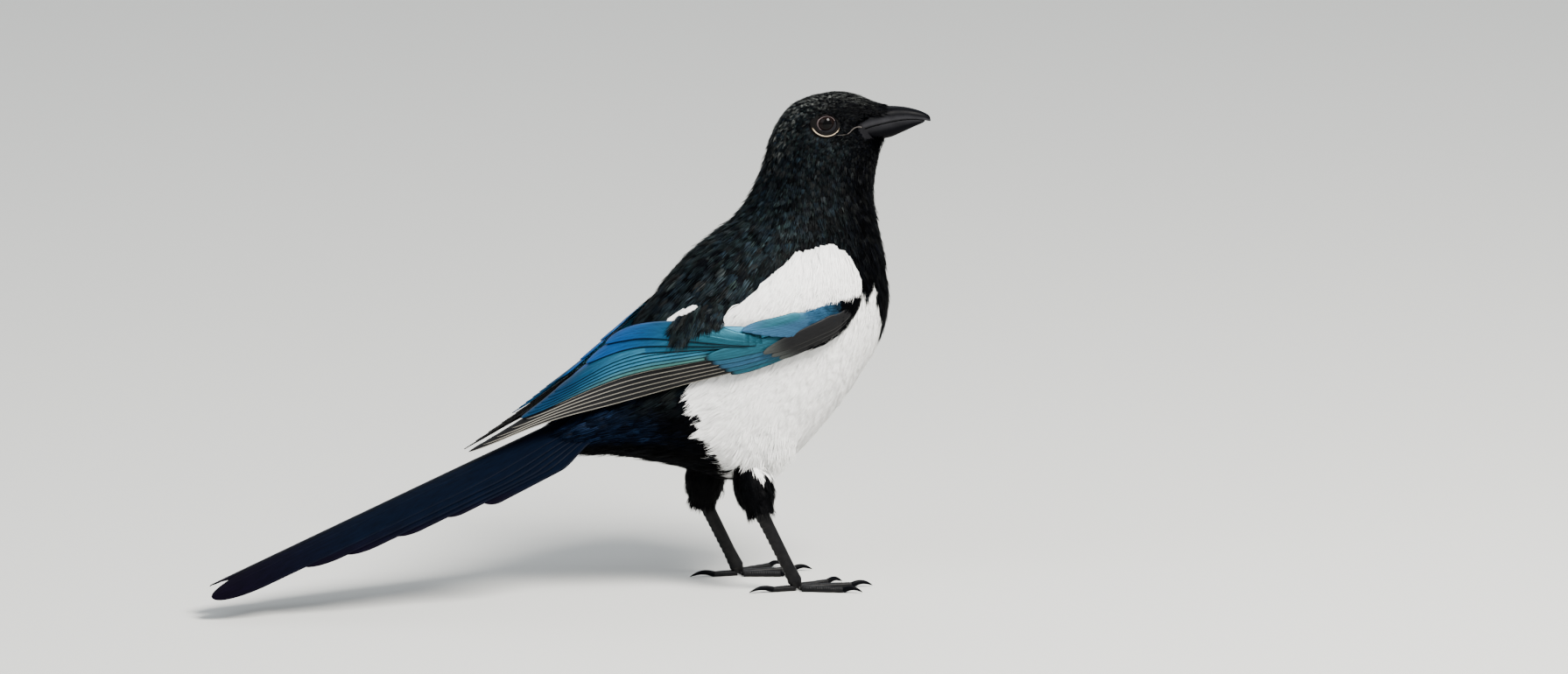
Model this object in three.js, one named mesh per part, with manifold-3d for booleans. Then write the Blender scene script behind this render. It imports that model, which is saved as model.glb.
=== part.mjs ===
// Eurasian magpie, life size, standing on both feet with the long tail held clear of the floor.
// Millimetres. +X runs from the tail to the bill, +Y is the bird's left, +Z is up, the floor is z = 0.
// The plumage is closed solids with the true outline, parted by narrow gaps where the real parts meet.

import * as THREE from "three";
import { mergeVertices } from "three/addons/utils/BufferGeometryUtils.js";
import Module from "manifold-3d";

const wasm = await Module();
wasm.setup();

// Driving dimensions
const GAP = 0.35;
const HEAD_TURN = THREE.MathUtils.degToRad(-16);
const HEAD_AXIS_X = 126;
const TURN_FROM = 6;
const TURN_OVER = 4.5;
const RING_POINTS = 28;
const NECK_AT = 7.5;
const TRUNK_AT = 10.5;
const RUMP_AT = 17.2;
const EYE_RADIUS = 4.8;
const TAIL_SLOPE = Math.atan(0.402);
const TAIL_THICK = 0.55;

// The body is a loft through oval sections. Each row is one section, from the bill to the tail:
// x and z of its upper point, x and z of its lower point, and its half width.
const BODY_ROWS = [
  [159.8, 229.6, 159.8, 213.9, 6.2],
  [153, 231.3, 158.1, 211.8, 7.4],
  [145.6, 234.5, 156.8, 209.2, 9.2],
  [136, 236.3, 156, 206.7, 12],
  [124.7, 234.9, 155.4, 204.2, 14.8],
  [114.7, 230.7, 154.8, 201.6, 16.4],
  [107.6, 222.7, 154.3, 199.1, 17.2],
  [103, 212.7, 153.8, 195.9, 17.8],
  [98.6, 199.2, 153.4, 190.5, 19],
  [92.5, 186.8, 153.9, 181.5, 21.5],
  [85.4, 178.2, 156.6, 168.3, 26],
  [77.4, 172, 159.3, 152, 31],
  [69, 166.1, 160.6, 132.9, 35],
  [60.7, 158.9, 155.8, 114.9, 37],
  [51.9, 149.7, 141.6, 92.5, 37],
  [42.3, 138, 124.4, 72, 35],
  [31.8, 125.5, 106.5, 56.2, 31],
  [21.3, 112.5, 85.2, 51.2, 26.5],
  [11.6, 101, 56.8, 59.2, 22],
  [2, 91, 28.3, 66.2, 18.5],
  [-9, 82.3, -2, 68.3, 13.5],
  [-25, 74.5, -25, 66, 8],
];
const BODY_END = BODY_ROWS.length - 1;

// Materials, one colour and finish for each kind of surface
const finish = (color, roughness, metalness = 0) => ({ color, roughness, metalness });
const BLACK_PLUMAGE = finish(0x0b0c10, 0.6);
const WHITE_PLUMAGE = finish(0xf2f2f0, 0.8);
const BLUE_PLUMAGE = finish(0x0f4f7c, 0.35, 0.4);
const WING_GREY = finish(0x24262a, 0.5);
const TAIL_PLUMAGE = finish(0x0a1120, 0.4, 0.2);
const HORN = finish(0x15161a, 0.35);
const EYE_BALL = finish(0x120a06, 0.08);
const LEG_SCALE = finish(0x17171a, 0.5);

const group = new THREE.Group();

function addNode(name, geometry, material) {
  const mesh = new THREE.Mesh(geometry, new THREE.MeshStandardMaterial(material));
  mesh.name = name;
  group.add(mesh);
}

// A closed body through rings of equal count. The ends are closed by strips between the two
// halves of the ring, which suits round sections and thin curved plates alike.
function loft(rings) {
  const count = rings[0].length;
  const last = (rings.length - 1) * count;
  const positions = rings.flat().flatMap((p) => [p.x, p.y, p.z]);
  const index = [];
  for (let i = 0; i < rings.length - 1; i += 1) {
    for (let j = 0; j < count; j += 1) {
      const a = i * count + j;
      const b = i * count + ((j + 1) % count);
      index.push(a, b, b + count, a, b + count, a + count);
    }
  }
  for (let j = 0; j < count / 2 - 1; j += 1) {
    const k = count - 1 - j;
    index.push(j, k, j + 1, j + 1, k, k - 1);
    index.push(last + j, last + j + 1, last + k, last + j + 1, last + k - 1, last + k);
  }
  const geometry = new THREE.BufferGeometry();
  geometry.setAttribute("position", new THREE.Float32BufferAttribute(positions, 3));
  geometry.setIndex(index);
  return facingOut(geometry);
}

function signedVolume(geometry) {
  const at = geometry.attributes.position;
  const corners = [0, 1, 2].map(() => new THREE.Vector3());
  let total = 0;
  for (let i = 0; i < geometry.index.count; i += 3) {
    corners.forEach((corner, n) => corner.fromBufferAttribute(at, geometry.index.getX(i + n)));
    total += corners[0].dot(corners[1].clone().cross(corners[2])) / 6;
  }
  return total;
}

function facingOut(geometry) {
  if (signedVolume(geometry) < 0) {
    geometry.setIndex([...geometry.index.array].reverse());
  }
  return geometry;
}

// Solid joins and cuts
function solid(geometry) {
  return new wasm.Manifold(new wasm.Mesh({
    numProp: 3,
    vertProperties: new Float32Array(geometry.attributes.position.array),
    triVerts: new Uint32Array(geometry.index.array),
  }));
}

function geometryOf(body) {
  const mesh = body.getMesh();
  const geometry = new THREE.BufferGeometry();
  geometry.setAttribute("position", new THREE.Float32BufferAttribute(mesh.vertProperties, 3));
  geometry.setIndex([...mesh.triVerts]);
  return geometry;
}

// The largest single piece that is left of a body after the cutters are taken from it
function cutBy(geometry, cutters) {
  const rest = cutters.reduce((body, cutter) => body.subtract(cutter), solid(geometry));
  const pieces = rest.decompose().sort((a, b) => b.volume() - a.volume());
  return geometryOf(pieces[0]);
}

// Smooth value of a table column at a fractional row
function rowValue(rows, at, column) {
  const i = Math.min(Math.floor(at), rows.length - 2);
  const f = at - i;
  const value = (k) => rows[k][column];
  const p1 = value(i);
  const p2 = value(i + 1);
  const p0 = i > 0 ? value(i - 1) : 2 * p1 - p2;
  const p3 = i + 2 < rows.length ? value(i + 2) : 2 * p2 - p1;
  const slope = (p2 - p0) * f + (2 * p0 - 5 * p1 + 4 * p2 - p3) * f * f;
  return 0.5 * (2 * p1 + slope + (3 * p1 - p0 - 3 * p2 + p3) * f * f * f);
}

// The head is turned to the bird's right about an upright axis, and the turn dies out in the neck
function turned(x, y, z, at) {
  const angle = HEAD_TURN * (1 - THREE.MathUtils.smoothstep(at, TURN_FROM, TURN_FROM + TURN_OVER));
  const dx = x - HEAD_AXIS_X;
  return new THREE.Vector3(
    HEAD_AXIS_X + dx * Math.cos(angle) - y * Math.sin(angle),
    dx * Math.sin(angle) + y * Math.cos(angle),
    z,
  );
}

// A point of the body's surface: section at, angle from the back towards the left, and how far
// the section is grown outwards
function bodyPoint(at, angle, grow = 0) {
  const [xTop, zTop, xLow, zLow, half] = [0, 1, 2, 3, 4].map((column) => rowValue(BODY_ROWS, at, column));
  const tall = Math.hypot(xTop - xLow, zTop - zLow) / 2;
  const reach = (1 + grow / tall) * Math.cos(angle);
  const x = (xTop + xLow) / 2 + ((xTop - xLow) / 2) * reach;
  const z = (zTop + zLow) / 2 + ((zTop - zLow) / 2) * reach;
  return turned(x, (half + grow) * Math.sin(angle), z, at);
}

function bodyRing(at, grow = 0) {
  return Array.from({ length: RING_POINTS }, (_, j) => bodyPoint(at, ((j + 0.5) / RING_POINTS) * 2 * Math.PI, grow));
}

// A length of the body between two sections, its far end drawn back to leave the gap
function bodyLength(from, to, steps, grow = 0, gap = GAP) {
  const rings = [];
  for (let i = 0; i <= steps; i += 1) {
    rings.push(bodyRing(from + ((to - from) * i) / steps, grow));
  }
  const end = rings[steps];
  const [quarter, half] = [RING_POINTS / 4, RING_POINTS / 2].map((n) => end[n].clone().sub(end[0]));
  const normal = quarter.cross(half).normalize();
  const inwards = Math.sign(rings[steps - 1][0].clone().sub(end[0]).dot(normal));
  end.forEach((point) => point.addScaledVector(normal, inwards * gap));
  return loft(rings);
}

const BODY_LENGTHS = [
  { name: "head", from: 0, to: NECK_AT, steps: 13, material: BLACK_PLUMAGE },
  { name: "neck", from: NECK_AT, to: TRUNK_AT, steps: 5, material: BLACK_PLUMAGE },
  { name: "trunk", from: TRUNK_AT, to: RUMP_AT, steps: 13, material: WHITE_PLUMAGE },
  { name: "rump", from: RUMP_AT, to: BODY_END, steps: 8, material: BLACK_PLUMAGE },
];
const CLEARANCE = 0.45;
const wholeBody = BODY_LENGTHS
  .map(({ from, to, steps }) => solid(bodyLength(from, to, steps, CLEARANCE, 0)))
  .reduce((joined, length) => joined.add(length));

// Bill. Each row is a section of both halves together, in the head's own lengthways plane:
// x, z of the culmen, z of the cutting edge, z of the lower edge, half width of the upper half.
const BILL_ROWS = [
  [142, 225.4, 217.4, 213.2, 9.2],
  [149, 227.8, 220, 213.2, 8.2],
  [155, 228.9, 221.5, 213.5, 6.9],
  [161, 229.3, 222.6, 214.5, 5.7],
  [167, 228.9, 223.3, 217, 4.5],
  [172, 227.9, 223.3, 219.3, 3.5],
  [176.2, 226.5, 222.8, 221.1, 2.7],
  [178.6, 225.2, 222.2, 221.8, 2],
  [180.1, 224, 221.9, 221.8, 1.2],
];
const BILL_STEPS = 10;
const LOWER_BILL_END = 6.4;
const LOWER_BILL_SHARE = 0.9;
const BILL_END_SHARE = 0.35;
const BILL_RING = 12;

function billHalf(upper, grow = 0) {
  const rings = [];
  const end = upper ? BILL_ROWS.length - 1 : LOWER_BILL_END;
  for (let i = 0; i <= BILL_STEPS; i += 1) {
    const at = (end * i) / BILL_STEPS;
    const [x, culmen, edge, under, half] = [0, 1, 2, 3, 4].map((column) => rowValue(BILL_ROWS, at, column));
    const outer = upper ? culmen : under;
    const seam = edge + (upper ? 1 : -1) * (GAP / 2 - grow);
    const closing = i === BILL_STEPS ? BILL_END_SHARE : 1;
    const width = closing * half * (upper ? 1 : LOWER_BILL_SHARE) + grow;
    const height = closing * (outer - seam) + (upper ? grow : -grow);
    const shift = grow * ((2 * i) / BILL_STEPS - 1);
    rings.push(Array.from({ length: BILL_RING }, (_, j) => {
      const turn = (Math.PI * j) / (BILL_RING - 1);
      const y = width * Math.cos(turn);
      return turned(x + shift, y, seam + height * Math.abs(Math.sin(turn)) ** 0.8, 0);
    }));
  }
  return loft(rings);
}

addNode("bill_upper", billHalf(true), HORN);
addNode("bill_lower", billHalf(false), HORN);

// Eyes, set into the sides of the head
const EYE_AT = [129.7, 10.8, 223.1];

function eyeBall(side, grow = 0) {
  const centre = turned(EYE_AT[0], side * EYE_AT[1], EYE_AT[2], 0);
  const geometry = new THREE.SphereGeometry(EYE_RADIUS + grow, 12, 8);
  geometry.translate(centre.x, centre.y, centre.z);
  geometry.deleteAttribute("normal");
  geometry.deleteAttribute("uv");
  return facingOut(mergeVertices(geometry));
}

for (const [side, name] of [[-1, "right"], [1, "left"]]) {
  addNode(`eye_${name}`, eyeBall(side), EYE_BALL);
}

// Head, neck, trunk and rump
const headCutters = [solid(billHalf(true, GAP)), solid(billHalf(false, GAP))];
headCutters.push(solid(eyeBall(-1, GAP)), solid(eyeBall(1, GAP)));
for (const { name, from, to, steps, material } of BODY_LENGTHS) {
  const length = bodyLength(from, to, steps);
  addNode(name, name === "head" ? cutBy(length, headCutters) : length, material);
}

// Scapulars: the loose shoulder feathers that lie over the upper edge of the folded wing.
// Each row is the angle from the back, the section of the front edge and of the rear edge.
const SCAPULAR_ROWS = [
  [113, 11.4, 11.95],
  [103, 10.8, 12.25],
  [90, 10.7, 12.75],
  [75, 11.2, 13.4],
  [60, 12, 14.1],
  [45, 12.9, 14.55],
  [32, 13.7, 15],
];

const SCAPULAR_LIFT = 4.2;
const SCAPULAR_SUNK = 1;
const SCAPULAR_EDGE = 0.3;
const ARCH_FROM = 0.15;
const ARCH_OVER = 0.75;

function scapulars(side) {
  const rings = [];
  const across = 4;
  const steps = 10;
  for (let i = 0; i <= steps; i += 1) {
    const at = ((SCAPULAR_ROWS.length - 1) * i) / steps;
    const [angle, front, rear] = [0, 1, 2].map((column) => rowValue(SCAPULAR_ROWS, at, column));
    const row = (grow) => Array.from({ length: across + 1 }, (_, j) => {
      const section = front + ((rear - front) * j) / across;
      const arch = Math.sin(Math.PI * (ARCH_FROM + (ARCH_OVER * j) / across));
      const lift = grow * (SCAPULAR_EDGE + (1 - SCAPULAR_EDGE) * arch);
      return bodyPoint(section, side * THREE.MathUtils.degToRad(angle), lift);
    });
    rings.push([...row(SCAPULAR_LIFT), ...row(-SCAPULAR_SUNK).reverse()]);
  }
  return loft(rings);
}

// Folded wing. Each row runs from the lower edge to the upper edge, as x, y, z of the right wing's
// two edge points with y to the outside, and how far the row bulges between them.
const WING_ROWS = [
  [137.8, 34, 142.4, 137.4, 33.6, 145.2, 0.3],
  [125.5, 38.4, 127.5, 125.5, 38.4, 141.2, 0.8],
  [111, 40.4, 120.8, 111, 40.4, 139.4, 1.2],
  [85.4, 39.6, 111.8, 86, 39, 136.8, 1.8],
  [49, 32, 102.8, 54, 26.5, 135, 5.2],
  [18, 22.5, 95.4, 27, 5.5, 124.5, 3.6],
  [-16, 14, 87, -4, 2.6, 101.6, 1.6],
  [-49.5, 6, 73.4, -48.5, 2.4, 75.6, 0.3],
];
const WING_END = WING_ROWS.length - 1;
const WING_TAPER_FROM = 0.75;
const WING_TAPER = 0.75;
const WING_THINNING = 0.75;

function wingPoint(side, at, across, depth) {
  const value = (column) => rowValue(WING_ROWS, at, column);
  const edge = (first, row = at) => new THREE.Vector3(...[0, 1, 2].map((n) => rowValue(WING_ROWS, row, first + n)));
  const low = edge(0);
  const chord = edge(3).sub(low);
  const ahead = edge(0, Math.max(at - 0.2, 0)).sub(edge(0, Math.min(at + 0.2, WING_END)));
  const outwards = ahead.cross(chord).normalize();
  outwards.multiplyScalar(Math.sign(outwards.y));
  const point = low.addScaledVector(chord, across);
  point.addScaledVector(outwards, value(6) * 4 * across * (1 - across) - depth);
  point.y *= side;
  return point;
}

// A panel of the wing between two rows and two heights, with a rounded rear end
function wingPanel(side, from, to, low, high, lift, thick, steps) {
  const across = 4;
  const rings = [];
  for (let i = 0; i <= steps; i += 1) {
    const along = i / steps;
    const at = from + (to - from) * along;
    const taper = 1 - WING_TAPER * Math.max(0, (along - WING_TAPER_FROM) / (1 - WING_TAPER_FROM)) ** 2;
    const thinned = thick * (1 - WING_THINNING * along);
    const row = (depth) => Array.from({ length: across + 1 }, (_, j) => {
      const share = low + (high - low) * (0.5 + (j / across - 0.5) * taper);
      return wingPoint(side, at, share, depth);
    });
    rings.push([...row(-lift), ...row(thinned - lift).reverse()]);
  }
  return loft(rings);
}

for (const [side, name] of [[-1, "right"], [1, "left"]]) {
  const shoulder = solid(scapulars(side));
  const shoulderGrown = wholeBody.add(shoulder);
  addNode(`scapulars_${name}`, cutBy(scapulars(side), [wholeBody]), WHITE_PLUMAGE);
  const panels = [
    ["coverts", 0, 2.9, 0, 1, 0.5, 6, 7, BLUE_PLUMAGE],
    ["secondaries", 2.92, 6.45, 0.42, 1, 0.3, 5, 9, BLUE_PLUMAGE],
    ["primaries", 2.92, WING_END, 0, 0.4, 0, 5, 10, WING_GREY],
  ];
  for (const [part, from, to, low, high, lift, thick, steps, material] of panels) {
    const panel = wingPanel(side, from, to, low, high, lift, thick, steps);
    addNode(`${part}_${name}`, cutBy(panel, [shoulderGrown]), material);
  }
}

// Tail: six feathers each side, the middle pair longest and on top, each next pair lower and shorter
const TAIL_ROOT = new THREE.Vector3(12, 0, 91.2);
const TAIL_LENGTHS = [203, 156, 136, 110, 84, 63];
const TAIL_PITCH = TAIL_THICK + GAP;
const TAIL_INNER = [0.2, 1.6, 3, 4.6, 6.6, 8.8];
const TAIL_OUTER = [14.5, 18, 20.5, 22.5, 24, 27];
const TAIL_ROOF = 0.42;
const TAIL_BEND = 0.006;
const TAIL_ROLL = THREE.MathUtils.degToRad(11);
const ROLL_SWAY = 0.3;
const FAN_ROOT = 0.62;
const FAN_OVER = 90;
const TIP_FROM = 0.86;
const MIDDLE_SHAFT = 0.45;
const SIDE_SHAFT = 0.6;

// The folded tail is a roof that is rolled a little to the bird's right
function tailPoint(side, along, out, depth) {
  const drop = TAIL_ROOF * out + TAIL_BEND * out * out + depth;
  const y = side * out * Math.cos(TAIL_ROLL) - drop * Math.sin(TAIL_ROLL) * ROLL_SWAY;
  const sink = drop * Math.cos(TAIL_ROLL) - side * out * Math.sin(TAIL_ROLL);
  return new THREE.Vector3(
    TAIL_ROOT.x - along * Math.cos(TAIL_SLOPE) - sink * Math.sin(TAIL_SLOPE),
    y,
    TAIL_ROOT.z - along * Math.sin(TAIL_SLOPE) - sink * Math.cos(TAIL_SLOPE),
  );
}

function tailFeather(side, place) {
  const length = TAIL_LENGTHS[place];
  const steps = 8;
  const across = 2;
  const rings = [];
  for (let i = 0; i <= steps; i += 1) {
    const share = 1 - (1 - i / steps) ** 1.6;
    const fan = FAN_ROOT + (1 - FAN_ROOT) * Math.min(1, (share * length) / FAN_OVER);
    const round = Math.sqrt(Math.max(0.02, 1 - Math.max(0, (share - TIP_FROM) / (1 - TIP_FROM)) ** 2));
    const inner = TAIL_INNER[place] * fan;
    const outer = TAIL_OUTER[place] * fan;
    const shaft = inner + (outer - inner) * (place === 0 ? MIDDLE_SHAFT : SIDE_SHAFT);
    const row = (depth) => Array.from({ length: across + 1 }, (_, j) => {
      const out = inner + ((outer - inner) * j) / across;
      return tailPoint(side, share * length, shaft + (out - shaft) * round, depth);
    });
    const level = place * TAIL_PITCH;
    rings.push([...row(level), ...row(level + TAIL_THICK).reverse()]);
  }
  return loft(rings);
}

for (const [side, name] of [[-1, "right"], [1, "left"]]) {
  for (let place = 0; place < TAIL_LENGTHS.length; place += 1) {
    addNode(`tail_${place + 1}_${name}`, cutBy(tailFeather(side, place), [wholeBody]), TAIL_PLUMAGE);
  }
}

// Legs. The ankle and foot of each side stand where they are in a half step.
const LEGS = [
  { side: -1, name: "right", hip: [84, -9, 77], ankle: [90, -22, 41], foot: [110, -22, 3.4] },
  { side: 1, name: "left", hip: [76, 9, 77], ankle: [76, 22, 39], foot: [95, 22, 3.4] },
];
const THIGH_SHARES = [0, 0.35, 0.7, 0.9, 1];
const THIGH_RADII = [1.5, 6, 9.2, 8.4, 6];
const SHANK_RADII = [3.5, 3, 3.1];
const SHANK_NARROW = 0.75;
const SHANK_HIDDEN = 3;
const SOLE_LIFT = 1.2;
const TOE_RADIUS = 1.5;
const FLAT_DEPTH = 0.25;

function tube(path, radii, sides, squash = 1) {
  const rings = path.map((point, i) => {
    const before = path[Math.max(i - 1, 0)];
    const after = path[Math.min(i + 1, path.length - 1)];
    const along = after.clone().sub(before).normalize();
    const across = new THREE.Vector3(-along.y, along.x, 0);
    if (across.length() < 0.3) {
      across.set(0, 1, 0);
    }
    across.normalize();
    const up = across.clone().cross(along).normalize();
    return Array.from({ length: sides }, (_, j) => {
      const angle = ((j + 0.5) / sides) * 2 * Math.PI;
      const place = point.clone().addScaledVector(across, radii[i] * squash * Math.cos(angle));
      return place.addScaledVector(up, radii[i] * Math.sin(angle));
    });
  });
  return loft(rings);
}

function onFloor(geometry) {
  const at = geometry.attributes.position;
  for (let i = 0; i < at.count; i += 1) {
    at.setZ(i, Math.max(0, at.getZ(i)));
  }
  return geometry;
}

const TOES = [
  { name: "inner", length: 19, spread: 20, start: 0.4, beside: 3.3, claw: 8 },
  { name: "middle", length: 27, spread: -2, start: 0.4, beside: 0, claw: 9 },
  { name: "outer", length: 21, spread: -26, start: 0.4, beside: -3.3, claw: 8 },
  { name: "hind", length: 14, spread: 182, start: 2, beside: 0, claw: 11 },
];
const TOE_RADII = [1.5, 1.5, 1.35, 1.4, 1.2];
const CLAW_SHARES = [0, 0.3, 0.6, 0.85, 1];
const CLAW_RADII = [1.3, 1.15, 0.85, 0.5, 0.25];
const CLAW_RISE = 1.26;
const CLAW_DROP = 0.7;

for (const { side, name, hip, ankle, foot } of LEGS) {
  const hipPoint = new THREE.Vector3(...hip);
  const anklePoint = new THREE.Vector3(...ankle);
  const footPoint = new THREE.Vector3(...foot);
  const leg = footPoint.clone().sub(anklePoint).normalize();
  const top = anklePoint.clone().addScaledVector(leg, -SHANK_HIDDEN);
  const low = footPoint.clone().addScaledVector(leg, -SOLE_LIFT);
  const shank = (grow) => {
    const ends = [top.clone().addScaledVector(leg, -grow), top.clone().lerp(low, 0.5), low];
    return tube(ends, SHANK_RADII.map((radius) => radius + grow), 10, SHANK_NARROW);
  };
  addNode(`shank_${name}`, shank(0), LEG_SCALE);
  const thighPath = THIGH_SHARES.map((share) => hipPoint.clone().lerp(anklePoint, share));
  const thigh = tube(thighPath, THIGH_RADII, 12);
  addNode(`thigh_${name}`, cutBy(thigh, [wholeBody, solid(shank(CLEARANCE))]), BLACK_PLUMAGE);

  for (const toe of TOES) {
    const heading = -side * THREE.MathUtils.degToRad(toe.spread);
    const forward = new THREE.Vector3(Math.cos(heading), Math.sin(heading), 0);
    const centreHeight = TOE_RADIUS - FLAT_DEPTH;
    const place = (run, rise) => new THREE.Vector3(foot[0], foot[1] - side * toe.beside, rise)
      .addScaledVector(forward, run);
    const toePath = [toe.start, 5, toe.length * 0.45, toe.length * 0.72, toe.length]
      .map((run) => place(run, centreHeight));
    addNode(`toe_${toe.name}_${name}`, onFloor(tube(toePath, TOE_RADII, 8)), LEG_SCALE);
    const clawPath = CLAW_SHARES.map((share) => place(
      toe.length + GAP + toe.claw * share,
      centreHeight + CLAW_RISE * Math.sin(Math.PI * share) - CLAW_DROP * share * share,
    ));
    addNode(`claw_${toe.name}_${name}`, onFloor(tube(clawPath, CLAW_RADII, 6)), HORN);
  }
}

export default group;
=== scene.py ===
import math

import bpy
import numpy as np
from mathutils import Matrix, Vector


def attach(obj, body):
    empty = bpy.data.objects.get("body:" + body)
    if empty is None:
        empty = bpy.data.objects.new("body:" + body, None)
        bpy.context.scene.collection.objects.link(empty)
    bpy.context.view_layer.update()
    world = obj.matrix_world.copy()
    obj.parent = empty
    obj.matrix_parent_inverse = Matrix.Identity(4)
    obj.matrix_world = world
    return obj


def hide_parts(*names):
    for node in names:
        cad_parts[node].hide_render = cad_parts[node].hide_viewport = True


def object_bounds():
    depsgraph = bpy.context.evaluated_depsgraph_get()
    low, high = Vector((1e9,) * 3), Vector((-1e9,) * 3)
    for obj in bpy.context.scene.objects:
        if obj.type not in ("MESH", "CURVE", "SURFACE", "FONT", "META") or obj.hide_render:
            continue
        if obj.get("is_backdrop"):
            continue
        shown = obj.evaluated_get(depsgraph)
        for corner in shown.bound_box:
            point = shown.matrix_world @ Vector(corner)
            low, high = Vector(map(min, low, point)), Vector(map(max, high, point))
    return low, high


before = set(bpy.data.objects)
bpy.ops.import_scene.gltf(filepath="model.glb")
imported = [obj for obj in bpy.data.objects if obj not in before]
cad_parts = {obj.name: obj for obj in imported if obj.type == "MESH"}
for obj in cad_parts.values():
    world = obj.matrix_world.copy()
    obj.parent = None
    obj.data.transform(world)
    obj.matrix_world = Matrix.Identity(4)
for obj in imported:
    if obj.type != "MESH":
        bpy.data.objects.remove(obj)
cad_box = [list(corner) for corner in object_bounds()]
MM = 0.001
SIDES = {"right": -1, "left": 1}

# Studio: a plain pale floor, soft light from a broad lamp high on the camera's right, and a
# camera that sees the bird's right side from a little behind and above, far off with a long lens.
IMAGE_WIDE = 1791
PIXELS_PER_METRE = 2400
SENSOR_WIDE = 36
VIEW_TURN, VIEW_RISE, VIEW_DISTANCE = -18, 10.5, 10
LOOK_AT = Vector((0.10955, 0, 0.1188))
FLOOR_RADIUS, FLOOR_SIDES = 40, 96
FLOOR_COLOUR = (0.52, 0.52, 0.5)
SKY_COLOUR = (0.9, 0.95, 1)
SKY_STRENGTH = 0.7
# Each lamp's turn and rise in degrees, distance and size in metres, power, and colour.
LAMPS = {
    "key": (24, 50, 2.2, 0.9, 185, (1, 0.97, 0.92)),
    "fill": (-60, 35, 2.6, 1.8, 26, (0.86, 0.93, 1)),
    "back": (165, 50, 2.6, 1.6, 16, (0.9, 0.95, 1)),
}


def put(name, data):
    """A new object with this data, in the scene, at the origin."""
    made = bpy.data.objects.new(name, data)
    bpy.context.scene.collection.objects.link(made)
    return made


def aim(made, turn, rise, distance):
    """Puts an object at a turn round the bird and a rise above the floor, and makes it look there."""
    turn, rise = math.radians(turn), math.radians(rise)
    away = Vector((math.sin(turn) * math.cos(rise), -math.cos(turn) * math.cos(rise), math.sin(rise)))
    made.location = LOOK_AT + away * distance
    made.rotation_mode = "QUATERNION"
    made.rotation_quaternion = (-away).to_track_quat("-Z", "Y")


camera = put("camera", bpy.data.cameras.new("camera"))
camera.data.sensor_width = SENSOR_WIDE
camera.data.lens = SENSOR_WIDE * VIEW_DISTANCE * PIXELS_PER_METRE / IMAGE_WIDE
camera.data.clip_end = 2 * VIEW_DISTANCE + FLOOR_RADIUS
aim(camera, VIEW_TURN, VIEW_RISE, VIEW_DISTANCE)
bpy.context.scene.camera = camera
for name, (turn, rise, distance, size, power, colour) in LAMPS.items():
    lamp = put(name, bpy.data.lights.new(name, "AREA"))
    lamp.data.size = size
    lamp.data.energy = power
    lamp.data.color = colour
    aim(lamp, turn, rise, distance)

world = bpy.data.worlds.new("sky")
bpy.context.scene.world = world
world.use_nodes = True
sky = world.node_tree.nodes["Background"]
sky.inputs["Color"].default_value = (*SKY_COLOUR, 1)
sky.inputs["Strength"].default_value = SKY_STRENGTH


def build(name, points, faces, smooth=True):
    """A mesh object at the origin, from an array of points and a list of arrays of faces,
    each array with faces of one size."""
    mesh = bpy.data.meshes.new(name)
    points = np.asarray(points, np.float32).reshape(-1, 3)
    corners = np.concatenate([np.asarray(group).ravel() for group in faces]).astype(np.int32)
    sizes = np.concatenate([np.full(len(group), group.shape[1]) for group in faces])
    starts = np.concatenate([[0], np.cumsum(sizes)[:-1]]).astype(np.int32)
    mesh.vertices.add(len(points))
    mesh.vertices.foreach_set("co", points.ravel())
    mesh.loops.add(len(corners))
    mesh.loops.foreach_set("vertex_index", corners)
    mesh.polygons.add(len(sizes))
    mesh.polygons.foreach_set("loop_start", starts)
    mesh.update(calc_edges=True)
    if smooth:
        mesh.shade_smooth()
    return put(name, mesh)


def grid_faces(rows, columns, around=False):
    """Quads of a grid of points, row by row. With around, the last column joins the first."""
    row, column = np.meshgrid(np.arange(rows - 1), np.arange(columns - (not around)), indexing="ij")
    after = (column + 1) % columns
    corners = [row * columns + column, row * columns + after, (row + 1) * columns + after,
               (row + 1) * columns + column]
    return np.stack(corners, -1).reshape(-1, 4)


def set_map(made, name, places):
    """A UV map from one place for each point."""
    corners = np.zeros(len(made.data.loops), np.int32)
    made.data.loops.foreach_get("vertex_index", corners)
    layer = made.data.uv_layers.new(name=name)
    layer.uv.foreach_set("vector", places.astype(np.float32)[corners].ravel())


def set_tint(made, colours):
    """The colour attribute tint, from one colour for each point."""
    colours = np.asarray(colours).reshape(-1, 3)
    layer = made.data.attributes.new("tint", "FLOAT_COLOR", "POINT")
    whole = np.concatenate([colours, np.ones((len(colours), 1))], -1)
    layer.data.foreach_set("color", whole.astype(np.float32).ravel())


def finish(name, tinted=False, **settings):
    """A material of one principled shader with these plain settings, by socket name. When it is
    tinted, its base colour is the tint attribute."""
    made = bpy.data.materials.new(name)
    made.use_nodes = True
    shader = made.node_tree.nodes["Principled BSDF"]
    for socket, value in settings.items():
        value = (*value, 1) if isinstance(value, tuple) else value
        shader.inputs[socket.replace("_", " ")].default_value = value
    if tinted:
        tint = add(made.node_tree, "Attribute", {"attribute_name": "tint"})
        feed(made, "Base Color", tint.outputs["Color"])
    return made


def add(tree, kind, settings=None, **sockets):
    """A node of this kind. Settings are its own properties; a socket gets a value or a link."""
    node = tree.nodes.new("ShaderNode" + kind)
    for key, value in (settings or {}).items():
        setattr(node, key, value)
    for key, value in sockets.items():
        socket = node.inputs[int(key[1:])] if key[1:].isdigit() else node.inputs[key.replace("_", " ")]
        if isinstance(value, bpy.types.NodeSocket):
            tree.links.new(value, socket)
        else:
            socket.default_value = (*value, 1) if socket.type == "RGBA" else value
    return node


def feed(material, socket, source):
    """Feeds a socket of a material's shader from another node's output."""
    tree = material.node_tree
    tree.links.new(source, tree.nodes["Principled BSDF"].inputs[socket])


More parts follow.
